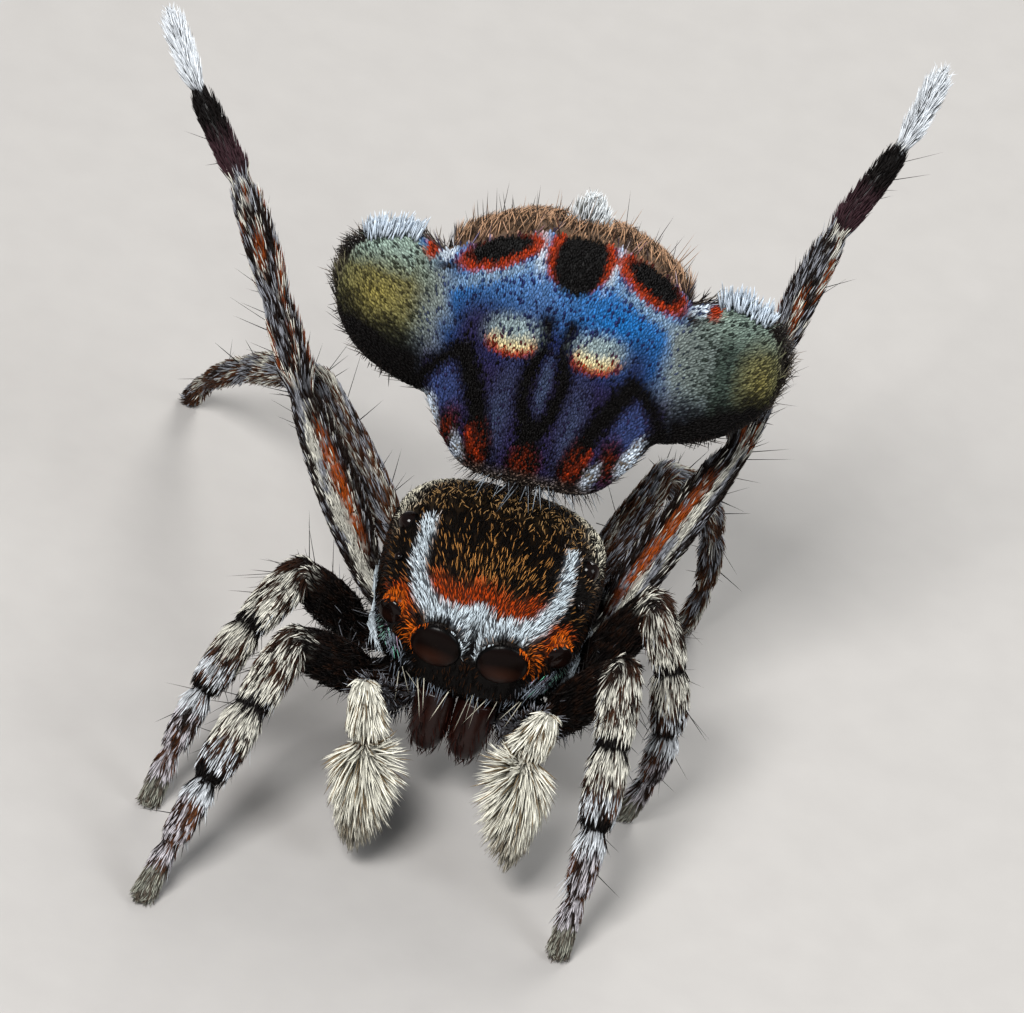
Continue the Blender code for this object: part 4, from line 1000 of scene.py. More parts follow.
def paintFan(at, normal):
    x, y, z = at.T
    rise = (view["up"][1] * y + view["up"][2] * z + fan["riseStart"]) / fan["riseScale"]
    u = x - (0.065 * (rise - 2.7) - 0.05)  # the middle line leans a little
    side = np.abs(u)
    rough = 0.012 * waver(x, rise, 31.0) + 0.010 * waver(x, rise, 67.0, 2.0)
    paint = Paint(fan["deep"], len(at))

    def spot(across, middle, size, soft, pale, dark, share, turn=0.0, ragged=0.0, strength=1.0):
        # an oval of the fan's pattern
        paint.lay(fade(oval(across, rise, middle, size, turn) + ragged, soft) * strength, pale, dark, share)

    def stripe(line, width, soft, pale, dark, share):
        paint.lay(fade(band(side, rise, line, width) + rough, soft), pale, dark, share)

    paint.lay(np.ones(len(at)), fan["deep"], fan["black"], 0.92)
    # the upper field is sky blue, brightest to the spider's left, and the lower one violet
    mottle = 0.06 * waver(x, rise, 48.0, 4.0)
    paint.lay(fade(3.90 - rise + 0.35 * rough, 0.45), fan["sky"], fan["deep"], 0.84 + mottle)
    spot(x, (0.52, 3.86), (0.46, 0.28), 0.35, fan["azure"], fan["deep"], 0.84 + mottle, turn=-30)
    spot(x, (-0.66, 3.88), (0.24, 0.14), 0.3, fan["azure"], fan["deep"], 0.84 + mottle, strength=0.5)
    spot(side, (0.86, 3.72), (0.08, 0.28), 0.15, fan["azure"], fan["deep"], 0.84 + mottle, strength=0.7)
    spot(side, (0.66, 3.62), (0.16, 0.18), 0.25, fan["violet"], fan["black"], 0.85, strength=0.8)
    spot(x, (-0.60, 3.71), (0.20, 0.16), 0.25, fan["violet"], fan["black"], 0.85, strength=0.8)
    paint.lay(fade(rise - 3.48, 0.28), fan["violet"], fan["black"], 0.86)
    spot(side, (0.31, 2.98), (0.09, 0.38), 0.14, fan["slate"], fan["violet"], 0.86, turn=4, strength=0.75)
    spot(side, (0.0, 3.32), (0.05, 0.22), 0.05, fan["slate"], fan["violet"], 0.90)
    spot(side, (0.775, 3.14), (0.15, 0.20), 0.16, fan["lobe"], fan["violet"], 0.88)
    for name, width in (("inner", 0.062), ("outer", 0.088)):
        stripe(fan[name], width, 0.08, fan["black"] * 1.3, fan["black"], 0.35)
    stripe(((0.0, 2.97), (0.0, 2.62)), 0.085, 0.07, fan["black"] * 1.3, fan["black"], 0.35)
    spot(side, (0.98, 3.02), (0.12, 0.16), 0.08, fan["black"] * 1.6, fan["black"], 0.4)
    # rusty ends of the stripes, and pale marks between them
    for middle, width in (((0.03, 2.69), (0.075, 0.10)), ((0.40, 2.74), (0.08, 0.15)),
                          ((0.665, 2.84), (0.05, 0.11))):
        spot(side, middle, np.add(width, 0.025), 0.08, fan["black"] * 1.3, fan["black"], 0.4, ragged=rough)
        spot(side, middle, width, 0.12, fan["rust"], fan["black"] * 2, 0.55, ragged=rough)
    stripe(((0.50, 2.88), (0.46, 2.78), (0.35, 2.66)), 0.016, 0.045, fan["red"], fan["rust"], 0.55)
    spot(side, (0.545, 2.70), (0.04, 0.10), 0.05, fan["white"], fan["ash"], 0.66, turn=-25, ragged=rough,
         strength=0.8)
    spot(side, (0.81, 2.90), (0.05, 0.16), 0.05, fan["white"], fan["ash"], 0.75, turn=-20, ragged=rough)
    paint.lay(fade(rise - 2.60, 0.10), fan["ash"], fan["soot"], 0.5)
    # the two eyespots: grey-white above, cream below, with a thin red lower rim
    spot(side, (0.350, 3.67), (0.20, 0.14), 0.14, fan["ice"] * 0.7, fan["deep"], 0.82, strength=0.7)
    spot(side, (0.345, 3.58), (0.186, 0.096), 0.035, fan["red"], fan["rust"], 0.70, ragged=rough)
    spot(side, (0.345, 3.62), (0.174, 0.090), 0.035, fan["cream"], fan["rust"], 0.86, ragged=rough)
    spot(side, (0.350, 3.70), (0.158, 0.085), 0.09, fan["ice"], fan["slate"] * 0.6, 0.80, ragged=rough)
    # top: black spot and two slanting black ovals, each rimmed with red, and white between
    spot(side, (0.31, 4.38), (0.045, 0.20), 0.05, fan["white"], fan["slate"], 0.84, turn=-12, ragged=rough)
    spot(side, (0.62, 4.08), (0.40, 0.05), 0.06, fan["ice"] * 1.2, fan["sky"] * 0.5, 0.80, turn=-25,
         ragged=rough, strength=0.5)
    ring = np.maximum(oval(u, rise, (0.01, 4.36), (0.278, 0.30)), 4.11 - rise)
    paint.lay(fade(ring + rough, 0.03), fan["red"], fan["rust"], 0.76)
    spot(u, (0.02, 4.32), (0.212, 0.28), 0.03, fan["black"], fan["black"] * 0.6, 0.6, ragged=rough)
    spot(side, (0.615, 4.27), (0.365, 0.135), 0.03, fan["red"], fan["rust"], 0.76, turn=-27, ragged=rough)
    spot(side, (0.635, 4.295), (0.275, 0.100), 0.03, fan["black"], fan["black"] * 0.6, 0.6, turn=-27,
         ragged=rough)
    # flaps: an olive gold dome to the spider's right, a grey-green one to its left with gold
    # outside, both paler above, partly a painted highlight, misty at the root, and black below, partly
    # their black hair and partly painted shade under them
    out = np.abs(x)
    uneven = waver(x, rise, 7.0)
    mist = fade(0.90 - out + 0.05 * uneven, 0.16) * fade(3.46 - rise, 0.30) * fade(rise - 4.05, 0.1)
    paint.lay(mist, fan["mist"], fan["slate"], 0.84)
    flap = fade(1.06 - out + 0.04 * uneven, 0.16) * (fade(rise - 4.18, 0.06) + (out > 1.22))
    gold = np.where(x < 0, fade(oval(out, rise, (1.46, 3.74), (0.32, 0.25)), 0.45),
                    fade(oval(out, rise, (1.67, 3.70), (0.10, 0.18)), 0.32))
    dome = blend(gold, fan["green"], fan["moss"])
    paint.lay(flap, dome, dome * 0.22, 0.74 + mottle)
    root = flap * fade(out - np.where(x < 0, 1.06, 1.17), 0.30)
    paint.lay(root, fan["mist"], fan["green"] * 0.6, 0.80)
    paint.lay(root * fade(rise - 3.42, 0.3), fan["lobe"] * 0.8, fan["violet"], 0.80)
    # paler upper part of the flaps: partly their colour, partly a painted highlight, strongest on the
    # spider's right
    above = fade(4.06 - rise + 0.10 * (out - 1.4) + 0.03 * uneven, 0.34) * np.where(x < 0, 0.85, 0.50)
    paint.lay(flap * above, fan["pool"], fan["green"] * 0.6, 0.80 + mottle)
    # black lower part of the flaps: partly their black hair, partly painted shade under them
    edge = np.minimum(curve([(row[0], row[1] + 0.40) for row in fan["flap"]], out), 3.60) + 0.06 * (x < 0)
    shade = fade(rise - edge + 0.05 * uneven, 0.24) * fade(1.00 - out, 0.12)
    paint.lay(shade, fan["black"] * 1.5, fan["black"], 0.3)
    stripe(fan["arch"], 0.060, 0.08, fan["black"] * 1.3, fan["black"], 0.35)
    # at each flap's upper root: a white tuft, a red spot and a dark one
    spot(side, (1.03, 4.20), (0.070, 0.09), 0.04, fan["white"], fan["slate"], 0.84, ragged=rough)
    spot(side, (0.99, 4.075), (0.09, 0.032), 0.04, fan["soot"], fan["black"], 0.7, turn=-10, ragged=rough)
    spot(side, (1.155, 4.18), (0.055, 0.075), 0.03, fan["red"], fan["rust"], 0.82, ragged=rough)
    # behind: brown fur at the top, ashy sides and back
    behind = fade(-0.05 - normal[:, 1] - 0.25 * (out > 1.0), 0.25)
    paint.lay(behind, fan["ash"], fan["soot"], 0.42)
    brow = np.interp(side, (0.0, 0.32, 0.42, 0.58, 0.84, 0.95, 1.02),
                     (4.52, 4.50, 4.465, 4.42, 4.30, 4.245, 4.22))
    crest = fade(brow - rise + rough, 0.03) * (normal[:, 2] > 0.05) * (out < 1.03)
    paint.lay(crest, fan["fur"], fan["fur"] * 0.10, 0.56)
    return paint, np.maximum(behind, crest)


def buildFan():
    tilt = (Matrix.Translation((0, 0, fan["middle"])) @ Matrix.Rotation(math.radians(fan["tilt"]), 4, "Y")
            @ Matrix.Translation((0, 0, -fan["middle"])))
    mesh = oneSkin("fanSkin", [abdomenGrid(), flapGrid(-1), flapGrid(1)], fan["voxel"], fan["soften"])
    at, normal = pointsOf(mesh), pointsOf(mesh, "normal")
    at -= normal * fan["inset"]
    mesh.vertices.foreach_set("co", at.astype(np.float32).ravel())
    unwrapByFacing(mesh, (0, 1.0, 3.4), 4.4, 2.2)
    paint, hairy = paintFan(at, normal)
    x = at[:, 0]
    lie = np.stack([0.9 * np.sign(x) * fade(1.05 - np.abs(x), 0.3) + 0.25 * x, 0.35 + 0.3 * hairy,
                    0.9 + 0 * x], -1)
    setCoat(mesh, paint, lie, 1 - hairy, 1.0, underneath=(0.75 - 0.5 * hairy)[:, None])
    mesh.transform(tilt)
    growCoat("fanScales", mesh, "even", scale, fanScaleFinish, "fan_scales", **fan["scales"])
    mesh.attributes["coatDensity"].data.foreach_set("value", hairy.astype(np.float32))
    growCoat("fanFur", mesh, "random", bristle, fanFurFinish, "fan_scales", **fan["furCoat"])
    finishPiece(mesh, "fanSkin", fanSkinFinish, ("abdomen", "flap_right", "flap_left"))
    return tilt


def flapRim(side, place):
    # a point of the flap's rim, from its upper root (0) to its lower root (1), and the way out
    x = fan["flap"][0][0] + (fan["flap"][-1][0] - fan["flap"][0][0]) * math.sin(math.pi * place)
    edge = 2 if place < 0.5 else 1
    z = float(curve([(row[0], row[edge]) for row in fan["flap"]], x))
    back = float(curve([(row[0], row[3]) for row in fan["flap"]], x))
    y = fanFace(z) + fan["flapDepth"] + back * 0.85 + 0.08
    at = Vector((side * x, y, z))
    return at, (at - Vector((side * 1.30, y, 3.62))).normalized()


fringe = {
    # first and last place along the rim, how many and how long
    "white": (0.09, 0.300, 210, 0.165), "dark": (0.27, 0.92, 380, 0.09), "crest": 120, "foot": 260,
    # width, tangle and seed of the single hairs
    "whiteHairs": (0.021, 0.10, 7), "darkHairs": (0.008, 0.16, 8),
}


def buildFringes(tilt):
    white, dark = [], []
    for side in (-1, 1):
        for pale in (True, False):
            first, last, count, length = fringe["white" if pale else "dark"]
            for place in np.linspace(first, last, count):
                at, away = flapRim(side, float(place + draws.uniform(-0.01, 0.01)))
                at -= away * draws.uniform(0.02, 0.10)
                at.y += draws.uniform(-0.09, 0.06)
                inwards, upwards = (-side * 0.35, 0.75) if pale else (0.0, -0.35)
                lean = Vector((inwards + draws.uniform(-0.30, 0.30), draws.uniform(-0.4, 0.4), upwards))
                colour = fan["white"] * draws.uniform(0.75, 1.1) if pale else fan["soot"] * 0.6
                reach = length * draws.uniform(0.45, 1.15)
                row = (tilt @ at, away + lean, Vector((0, -1, 0.3)), colour, reach)
                (white if pale else dark).append(row)
    # long fine hairs stand from the top of the fan and from round its foot
    for _ in range(fringe["crest"]):
        x = draws.uniform(-0.85, 0.85)
        place = draws.uniform(0.86, 0.97)
        y, z = (float(curve([(row[0], row[k]) for row in fan["front"]], place)) for k in (1, 2))
        at = Vector((x * (1.12 - 0.55 * (place - 0.8)), y + 0.10, z - 0.10 - 0.28 * x * x))
        heading = Vector((0.5 * x + draws.uniform(-0.25, 0.25), 0.35 + draws.uniform(-0.3, 0.3), 1.0))
        colour = fan["soot"] if draws.random() < 0.6 else fan["fur"] * 0.6
        dark.append((tilt @ at, heading, Vector((0, -1, 0.4)), colour, draws.uniform(0.14, 0.40)))
    for _ in range(fringe["foot"]):
        turn = draws.uniform(-3.1, 0.0)
        at = Vector((0.48 * math.cos(turn), 0.64 + 0.34 * math.sin(turn), 2.32 + draws.uniform(0, 0.20)))
        heading = Vector((1.0 * math.cos(turn) + draws.uniform(-0.6, 0.6), -0.5, draws.uniform(-1.2, -0.1)))
        colour = fan["soot"] if draws.random() < 0.72 else fan["white"] * draws.uniform(0.2, 0.6)
        dark.append((tilt @ at, heading, Vector((0, -1, 0)), colour, draws.uniform(0.12, 0.28)))
    givenHairs("flapFringeWhite", white, brushFinish, "flap_scales", *fringe["whiteHairs"])
    givenHairs("fanLongHairs", dark, darkHairFinish, "fan_scales", *fringe["darkHairs"])


fanSkinFinish = material("fanSkin", 0.5, bump=0.6, scale=30000.0, amount=0.45, gloss=0.1)
fanScaleFinish = hairMaterial("fanScale", 0.42, 0.09, paintedRootShade=0.6)
fanFurFinish = hairMaterial("fanFur", 0.5, 0.12)
fanTilt = buildFan()
buildFringes(fanTilt)
print("abdomen and flaps are dressed")


# Legs
legs = {
    "coxaLength": 0.48, "coxaHeight": 0.90, "coxaRadius": 0.155, "inset": 0.012, "rows": 150, "sides": 30,
    "flatten": 0.84,
    # lengths of patella, tibia, metatarsus and tarsus, then radii of femur and of those four
    "first": ((0.62, 0.68, 0.55, 0.56), (0.195, 0.158, 0.155, 0.112, 0.088)),
    "second": ((0.60, 0.66, 0.54, 0.52), (0.180, 0.148, 0.145, 0.106, 0.084)),
    "third": ((0.78, 0.99, 0.80, 0.62), (0.180, 0.132, 0.128, 0.100, 0.072)),
    "fourth": ((0.60, 0.76, 0.74, 0.50), (0.170, 0.134, 0.126, 0.094, 0.078)),
    # along a segment: place, and share of its radius
    "shapes": (((0.10, 0.78), (0.35, 1.0), (0.65, 0.98), (0.88, 0.80)),
               ((0.22, 0.98), (0.62, 1.0), (0.88, 0.90)), ((0.14, 0.94), (0.5, 1.0), (0.86, 0.88)),
               ((0.16, 1.0), (0.6, 1.0), (0.88, 0.90)),
               ((0.18, 0.92), (0.55, 1.0), (0.86, 0.98), (1.0, 0.72))),
    "cream": tone(0.88, 0.87, 0.82), "white": tone(0.87, 0.89, 0.91), "rose": tone(0.78, 0.76, 0.78),
    "grey": tone(0.60, 0.60, 0.55),
    "dark": tone(0.11, 0.075, 0.06), "brown": tone(0.42, 0.25, 0.14), "orange": tone(0.66, 0.30, 0.08),
    "black": tone(0.06, 0.045, 0.04),
    "steel": tone(0.56, 0.57, 0.60), "plumSheen": tone(0.24, 0.16, 0.18),
    "coat": dict(Density=1750.0, Length=0.132, Width=0.0112, Lift=11.5, Tangle=0.17),
    # how many single hairs: pale ones on a leg of the front pairs and of the others, dark ones, and
    # those on a front femur; then their width and tangle
    "innerHairs": (190, 50), "setae": 34, "femurHairs": 210, "hairWidth": 0.0078, "hairTangle": 0.2,
}
# name, hip, heading of the coxa, knee, foot, bows, sizes
legRows = (
    ("leg_1_right", (-0.38, -0.45), 45, (-1.38, -1.40, 1.55), (-2.00, -3.18, 0.0), (0.05, 0.07, 0.05),
     "first"),
    ("leg_1_left", (0.38, -0.45), 45, (1.23, -0.95, 1.80), (1.32, -2.49, 0.0), (0.09, 0.12, 0.08), "first"),
    ("leg_2_right", (-0.42, -0.12), 15, (-1.49, -0.58, 1.60), (-2.17, -2.01, 0.0), (0.14, 0.18, 0.12),
     "second"),
    ("leg_2_left", (0.42, -0.12), 15, (1.32, -0.22, 1.98), (1.55, -0.56, 0.0), (0.22, 0.28, 0.19), "second"),
    ("leg_3_right", (-0.42, 0.22), -15, (-1.87, 0.95, 2.15), (-3.69, 2.45, 4.34), (0.05, 0.09, 0.01),
     "third"),
    ("leg_3_left", (0.42, 0.22), -15, (1.65, 1.10, 2.67), (2.43, 3.08, 5.36), (0.10, 0.13, 0.01), "third"),
    ("leg_4_right", (-0.38, 0.52), -45, (-1.71, 1.60, 1.79), (-2.86, 3.25, 0.0), (0.16, 0.22, 0.15),
     "fourth"),
    ("leg_4_left", (0.38, 0.52), -45, (1.14, 1.62, 1.82), (1.66, 2.00, 0.0), (0.32, 0.42, 0.29), "fourth"),
)


def legStations(hip, heading, knee, tip, bow, sizes, raised):
    # (centre, radius, flattening, segment place): 0 to 1 is the femur, 4 to 5 the tarsus
    lengths, radii = legs[sizes]
    side = 1 if hip[0] > 0 else -1
    start = np.array((hip[0], hip[1], legs["coxaHeight"]))
    turn = math.radians(heading)
    way = np.array((side * math.cos(turn), -math.sin(turn), 0))
    hinge, knee, tip = start + way * legs["coxaLength"], np.array(knee), np.array(tip)
    chord = tip - knee
    outward = np.array((-side, 0, 0.2)) if raised else unit(knee * (1, 1, 0)) * 0.6 + (0, 0, 0.8)
    bulge = unit(outward - chord * (outward @ chord) / (chord @ chord))
    joints = np.concatenate([[0], np.cumsum(lengths)]) / sum(lengths)
    bows = list(zip(joints, (0.0, *bow, 0.0)))

    def shank(place):
        return knee + chord * place + bulge * curve(bows, place)

    rows = [(start - way * 0.12, legs["coxaRadius"] * 0.9, 1.0, -0.5),
            (start + (hinge - start) * 0.35, legs["coxaRadius"], 1.0, -0.35),
            (start + (hinge - start) * 0.8, legs["coxaRadius"] * 0.95, 1.0, -0.1)]
    for place, share in legs["shapes"][0]:
        rows.append((hinge + (knee - hinge) * place, radii[0] * share, legs["flatten"], place))
    rows.append((knee, radii[1] * 0.80, 0.95, 1.0))
    for k in range(4):
        for place, share in legs["shapes"][k + 1]:
            at = shank(joints[k] + (joints[k + 1] - joints[k]) * place)
            rows.append((at, radii[k + 1] * share, 1.0, k + 1 + place))
        if k < 3:
            rows.append((shank(joints[k + 1]), min(radii[k + 1], radii[k + 2]) * 0.80, 1.0, k + 2.0))
    return rows


def ribbon(places, shares, q):
    return np.interp(q, places, shares)


def paintLeg(order, q, turn, run, outer, radius):
    # order is the leg's pair, q its segment place, turn the angle round it, with its back at
    # 270 degrees, and outer the angle from its front toward its outer side
    wide, deep = np.cos(turn) * radius, np.sin(turn) * radius
    patch = waver(wide + 0.2 * run, deep - 0.3 * run, 15.0)
    tuft = waver(wide * 2.2, run * 0.75, 20.0) + waver(deep * 2.2, run * 0.75, 20.0, 5.0)
    q = q + 0.03 * patch
    top = np.cos(turn - math.radians(270))
    paint = Paint(legs["dark"], len(q))
    warm = np.clip(0.35 + 0.75 * patch, 0, 1) * ribbon((0, 2.2, 3.2, 5), (0.35, 0.45, 1.0, 1.0), q)
    brown = blend(warm, legs["dark"], legs["brown"])
    if order in (1, 2):
        share = ribbon((0, 0.80, 0.90, 0.98, 1.04, 1.12, 1.22, 1.45, 1.60, 1.72, 1.80, 1.84, 2.05, 2.09, 2.25,
                        2.45, 2.62, 2.78, 2.84, 3.04, 3.09, 3.28, 3.40, 3.60, 3.80, 3.92, 4.04, 4.12, 4.45,
                        4.7, 5.0),
                       (0.0, 0.0, 0.36, 0.34, 0.10, 0.50, 0.58, 0.40, 0.56, 0.86, 0.76, 0.01, 0.01, 0.84,
                        0.70, 0.32, 0.44, 0.56, 0.03, 0.01, 0.84, 0.70, 0.22, 0.30, 0.54, 0.46, 0.14, 0.56,
                        0.56, 0.60, 0.42), q)
        ring = ribbon((0, 0.9, 1.1, 1.66, 1.76, 2.07, 2.12, 2.22, 2.34, 3.07, 3.12, 3.22, 3.34, 5),
                      (0.3, 0.3, 1, 1, 0.2, 0.2, 0.2, 0.3, 1, 0.2, 0.2, 0.3, 1, 0.8), q)
        share = share + 0.52 * tuft * ring * (share > 0.12) + 0.10 * top * (q > 1)
        far = pick(q < 4.45, legs["rose"], legs["grey"])
        paint.pale = pick(q < 2.5, legs["cream"], pick(q < 3.3, legs["white"], far))
        # the front femurs are black, with a faint brown painted sheen in patches
        femur = legs["black"] + np.clip(0.12 * tuft, 0, 1)[:, None] * legs["brown"]
        paint.dark = pick(q < 1.0, femur, brown)
        paint.dark = pick((q > 1.78) & (q < 2.08) | (q > 2.8) & (q < 3.08), legs["black"], paint.dark)
        paint.dark = pick(q > 4.4, legs["grey"] * 0.25 + legs["brown"] * 0.20, paint.dark)
    elif order == 3:
        share = ribbon((0, 0.15, 0.6, 1.0, 1.04, 1.3, 1.8, 2.0, 2.4, 2.85, 2.98, 3.04, 3.10, 3.9, 3.98, 4.02,
                        5.0),
                       (0.10, 0.35, 0.20, 0.30, 0.50, 0.35, 0.42, 0.50, 0.30, 0.40, 0.70, 0.85, 0.03, 0.02,
                        0.05, 0.99, 0.99), q)
        # a pale line runs along the femur beside an orange streak
        stripe = fade(np.abs(outer - 0.36 + 0.20 * fade(q - 0.35, 0.5)) - 0.34, 0.25) * (q < 1.04)
        share = np.maximum(share + 0.34 * tuft * (q < 3), 0.93 * stripe)
        share = np.where(q > 4.0, 0.99, share)
        paint.pale = pick(q > 4.0, legs["white"] * 1.08,
                          pick(patch > 0.0, legs["cream"] * 0.9, legs["steel"]))
        streak = fade(np.abs(outer + 0.30) - 0.28, 0.25) * fade(0.25 - q, 0.2) * fade(q - 0.80, 0.2)
        orange = streak + 0.5 * (q > 1) * fade(q - 3.0, 0.2) * (patch > 0.25)
        paint.dark = blend(np.clip(orange, 0, 1), legs["dark"], legs["orange"])
        # leg III's metatarsus is black, with a painted plum sheen near its start
        paint.dark = pick(q > 3.06, blend(fade(q - 3.45, 0.3), legs["black"], legs["plumSheen"]), paint.dark)
    else:
        share = ribbon((0, 0.5, 1.0, 1.06, 1.5, 1.95, 2.0, 2.08, 2.3, 2.9, 3.0, 3.08, 3.3, 3.9, 4.05, 5.0),
                       (0.35, 0.30, 0.45, 0.60, 0.5, 0.6, 0.2, 0.75, 0.5, 0.4, 0.15, 0.75, 0.45, 0.3, 0.5,
                        0.5), q)
        share = share + 0.40 * tuft + 0.12 * top
        paint.pale = pick(patch > -0.1, legs["steel"] * 1.1, legs["cream"] * 0.8)
        paint.dark = blend(np.clip(0.3 + patch, 0, 1), legs["brown"] * 0.6, legs["dark"])
    paint.share = np.clip(0.5 + 1.5 * (share - 0.5), 0.0, 0.97)
    return paint


def buildLeg(name, hip, heading, knee, tip, bow, sizes):
    order = int(name.split("_")[1])
    raised = order == 3
    rows = legStations(hip, heading, knee, tip, bow, sizes, raised)
    centres = np.array([row[0] for row in rows])
    run = np.concatenate([[0], np.cumsum(np.linalg.norm(np.diff(centres, axis=0), axis=1))])
    s = np.linspace(0, run[-1], legs["rows"])
    centre = curveVector(list(zip(run, centres)), s)
    radius = curve(list(zip(run, [row[1] for row in rows])), s) - legs["inset"]
    flat = curve(list(zip(run, [row[2] for row in rows])), s)
    q = np.interp(s, run, [row[3] for row in rows])
    across = unit(np.cross(np.array(knee) - centres[1], np.array(tip) - np.array(knee)))
    along = unit(np.gradient(centre, axis=0))
    side = unit(across - along * (along @ across)[:, None])
    inward = np.cross(side, along)
    # the last row is drawn in, so that the tip is round
    radius[-1] *= 0.45
    radius[-2] *= 0.8
    count = legs["sides"]
    turn = around(count)
    grid = (centre[:, None] + side[:, None] * (radius * flat)[:, None, None] * np.cos(turn)[None, :, None]
            + inward[:, None] * radius[:, None, None] * np.sin(turn)[None, :, None])
    if not raised:
        grid[..., 2] = np.maximum(grid[..., 2], 0.0)
    mesh = skinMesh(name + "Skin", grid)
    at = pointsOf(mesh)
    allQ, allRun, allRadius, lie = (perRow(values, count) for values in (q, s, radius, along))
    allTurn = perSide(turn, len(q))
    if not raised:  # hairs bend away from the floor
        lie[:, 2] += 0.9 * fade(at[:, 2] - 0.10, 0.12)
    # the angle from the leg's front and upper side toward its outer side
    ahead = unit(np.cross(along, np.cross(np.array((0, -0.8, 0.6)), along)))
    beside = np.cross(ahead, along)
    beside *= np.sign(beside[:, :1]) * (1 if hip[0] > 0 else -1)
    radial = side[:, None] * np.cos(turn)[None, :, None] + inward[:, None] * np.sin(turn)[None, :, None]
    outer = np.arctan2((radial * beside[:, None]).sum(-1), (radial * ahead[:, None]).sum(-1))
    outer = np.concatenate([outer.ravel(), outer[0, :1], outer[-1, :1]])
    paint = paintLeg(order, allQ, allTurn, allRun, outer, allRadius)
    length = ribbon((0, 0.9, 1.1, 2, 3, 4, 4.5, 5), (0.75, 0.8, 1.0, 1.0, 0.95, 0.85, 0.75, 0.6), allQ)
    density = fade(-0.1 - allQ, 0.2) * fade(0.01 - at[:, 2], 0.01) * np.where(allQ < 0.95, 0.8, 1.0)
    lift = 0.8 + 0.9 * np.clip(np.sin(allTurn), 0, 1) + 0.3 * (allQ > 4)
    if raised:  # its last segment is a thick white brush, widest at its end
        length = np.where(allQ > 4.0, 1.25, length)
        density = density * np.where(allQ > 4.0, 2.1, 0.85)
        lift = np.where(allQ > 4.0, 1.2 + 0.5 * (allQ - 4), lift)
    setCoat(mesh, paint, lie, density, length, lift)
    title = ({"1": "legFirst", "2": "legSecond", "3": "legThird", "4": "legFourth"}[name[4]]
             + name[6:].capitalize())
    growCoat(title + "Coat", mesh, "random", bristle, legHairFinish, "banded_leg", Seed=20 + order,
             **legs["coat"])
    seta = []

    def foot(place, angle):
        # where a hair stands, the leg's direction there, and the way out
        k = int(np.argmin(np.abs(q - place)))
        out = side[k] * math.cos(angle) + inward[k] * math.sin(angle)
        return centre[k] + out * radius[k] * 0.9, along[k], out

    # pale hairs stand out along the inner side, and fewer, longer dark ones from the back and
    # the knee
    for _ in range(legs["innerHairs"][0 if order < 3 else 1]):
        place = draws.uniform(1.1, 4.3 if order < 3 else 3.0)
        at, ahead, out = foot(place, math.radians(90 + draws.uniform(-100, 100)))
        pale = draws.random() < 0.6
        shade = legs["white"] * draws.uniform(0.5, 1.0) if pale else legs["dark"] * draws.uniform(0.6, 2.0)
        seta.append((at, ahead * draws.uniform(1.2, 2.6) + out * 0.8, out, shade, draws.uniform(0.12, 0.22)))
    for i in range(legs["setae"]):
        place = draws.uniform(0.25, 4.0) if i % 2 else draws.normal(1.3, 0.35)
        at, ahead, out = foot(place, math.radians(270 + draws.uniform(-100, 100)))
        seta.append((at, ahead * draws.uniform(0.2, 1.2) + out, out, legs["black"],
                     draws.uniform(0.16, 0.42)))
    # the dark femurs of the front pairs are shaggy toward the body
    for _ in range(legs["femurHairs"] if order < 3 else 0):
        at, ahead, out = foot(0.6 * draws.uniform(0, 1) ** 1.8, draws.uniform(0, 2 * math.pi))
        shade = (legs["steel"] * 0.5 if draws.random() < 0.15 else legs["black"]) * draws.uniform(0.5, 2.0)
        seta.append((at, ahead * draws.uniform(-0.9, 1.1) + out, out, shade, draws.uniform(0.09, 0.20)))
    givenHairs(title + "LongHairs", seta, darkHairFinish, "banded_leg", legs["hairWidth"], legs["hairTangle"],
               40 + order)
    finishPiece(mesh, title + "Skin", legSkinFinish,
                [name + part for part in ("_femur", "_shank", "_foot")])


legSkinFinish = material("legCuticle", 0.45, bump=0.5, scale=11000.0, amount=0.45, gloss=0.15)
legHairFinish = hairMaterial("legHair", 0.50, 0.08)
for row in legRows:
    buildLeg(*row)
print("legs are dressed")


# Palps
palps = {
    "armRadius": 0.095, "brushRadius": 0.165, "inset": 0.012, "armInset": 0.01, "armRows": 50, "armSides": 28,
    "brushRows": 80,
    "brushSides": 40,
    "shape": ((0.0, 0.45), (0.07, 0.70), (0.18, 0.82), (0.28, 0.80), (0.355, 0.52), (0.45, 0.95),
              (0.60, 1.05), (0.76, 0.86), (0.90, 0.56), (1.0, 0.22)),
    "waist": 0.36, "ivory": tone(0.93, 0.92, 0.86), "straw": tone(0.58, 0.50, 0.38),
    "grey": tone(0.55, 0.53, 0.48), "umber": tone(0.22, 0.15, 0.11),
    "bristles": dict(Density=1700.0, Length=0.27, Width=0.0175, Lift=17.0, Tangle=0.14, Seed=51),
    "armHair": dict(Density=1100.0, Length=0.16, Width=0.0095, Lift=30.0, Tangle=0.3, Seed=52),
}
palpRows = (
    ("palp_right", -1, (0.30, -0.66, 0.90), (0.73, -1.50, 1.36), (0.61, -1.70, 1.00), (0.52, -2.08, 0.30)),
    ("palp_left", 1, (0.30, -0.66, 0.90), (0.73, -1.42, 1.46), (0.66, -1.56, 1.17), (0.735, -2.00, 0.46)),
)


def tubeGrid(centre, radius, sides, across=(1.0, 0.0, 0.0), along=None):
    along = unit(np.gradient(centre, axis=0)) if along is None else along
    wide = unit(np.array(across) - along * (along @ np.array(across))[:, None])
    deep = np.cross(wide, along)
    turn = around(sides)[None, :, None]
    return centre[:, None] + radius[:, None, None] * (wide[:, None] * np.cos(turn)
                                                      + deep[:, None] * np.sin(turn))


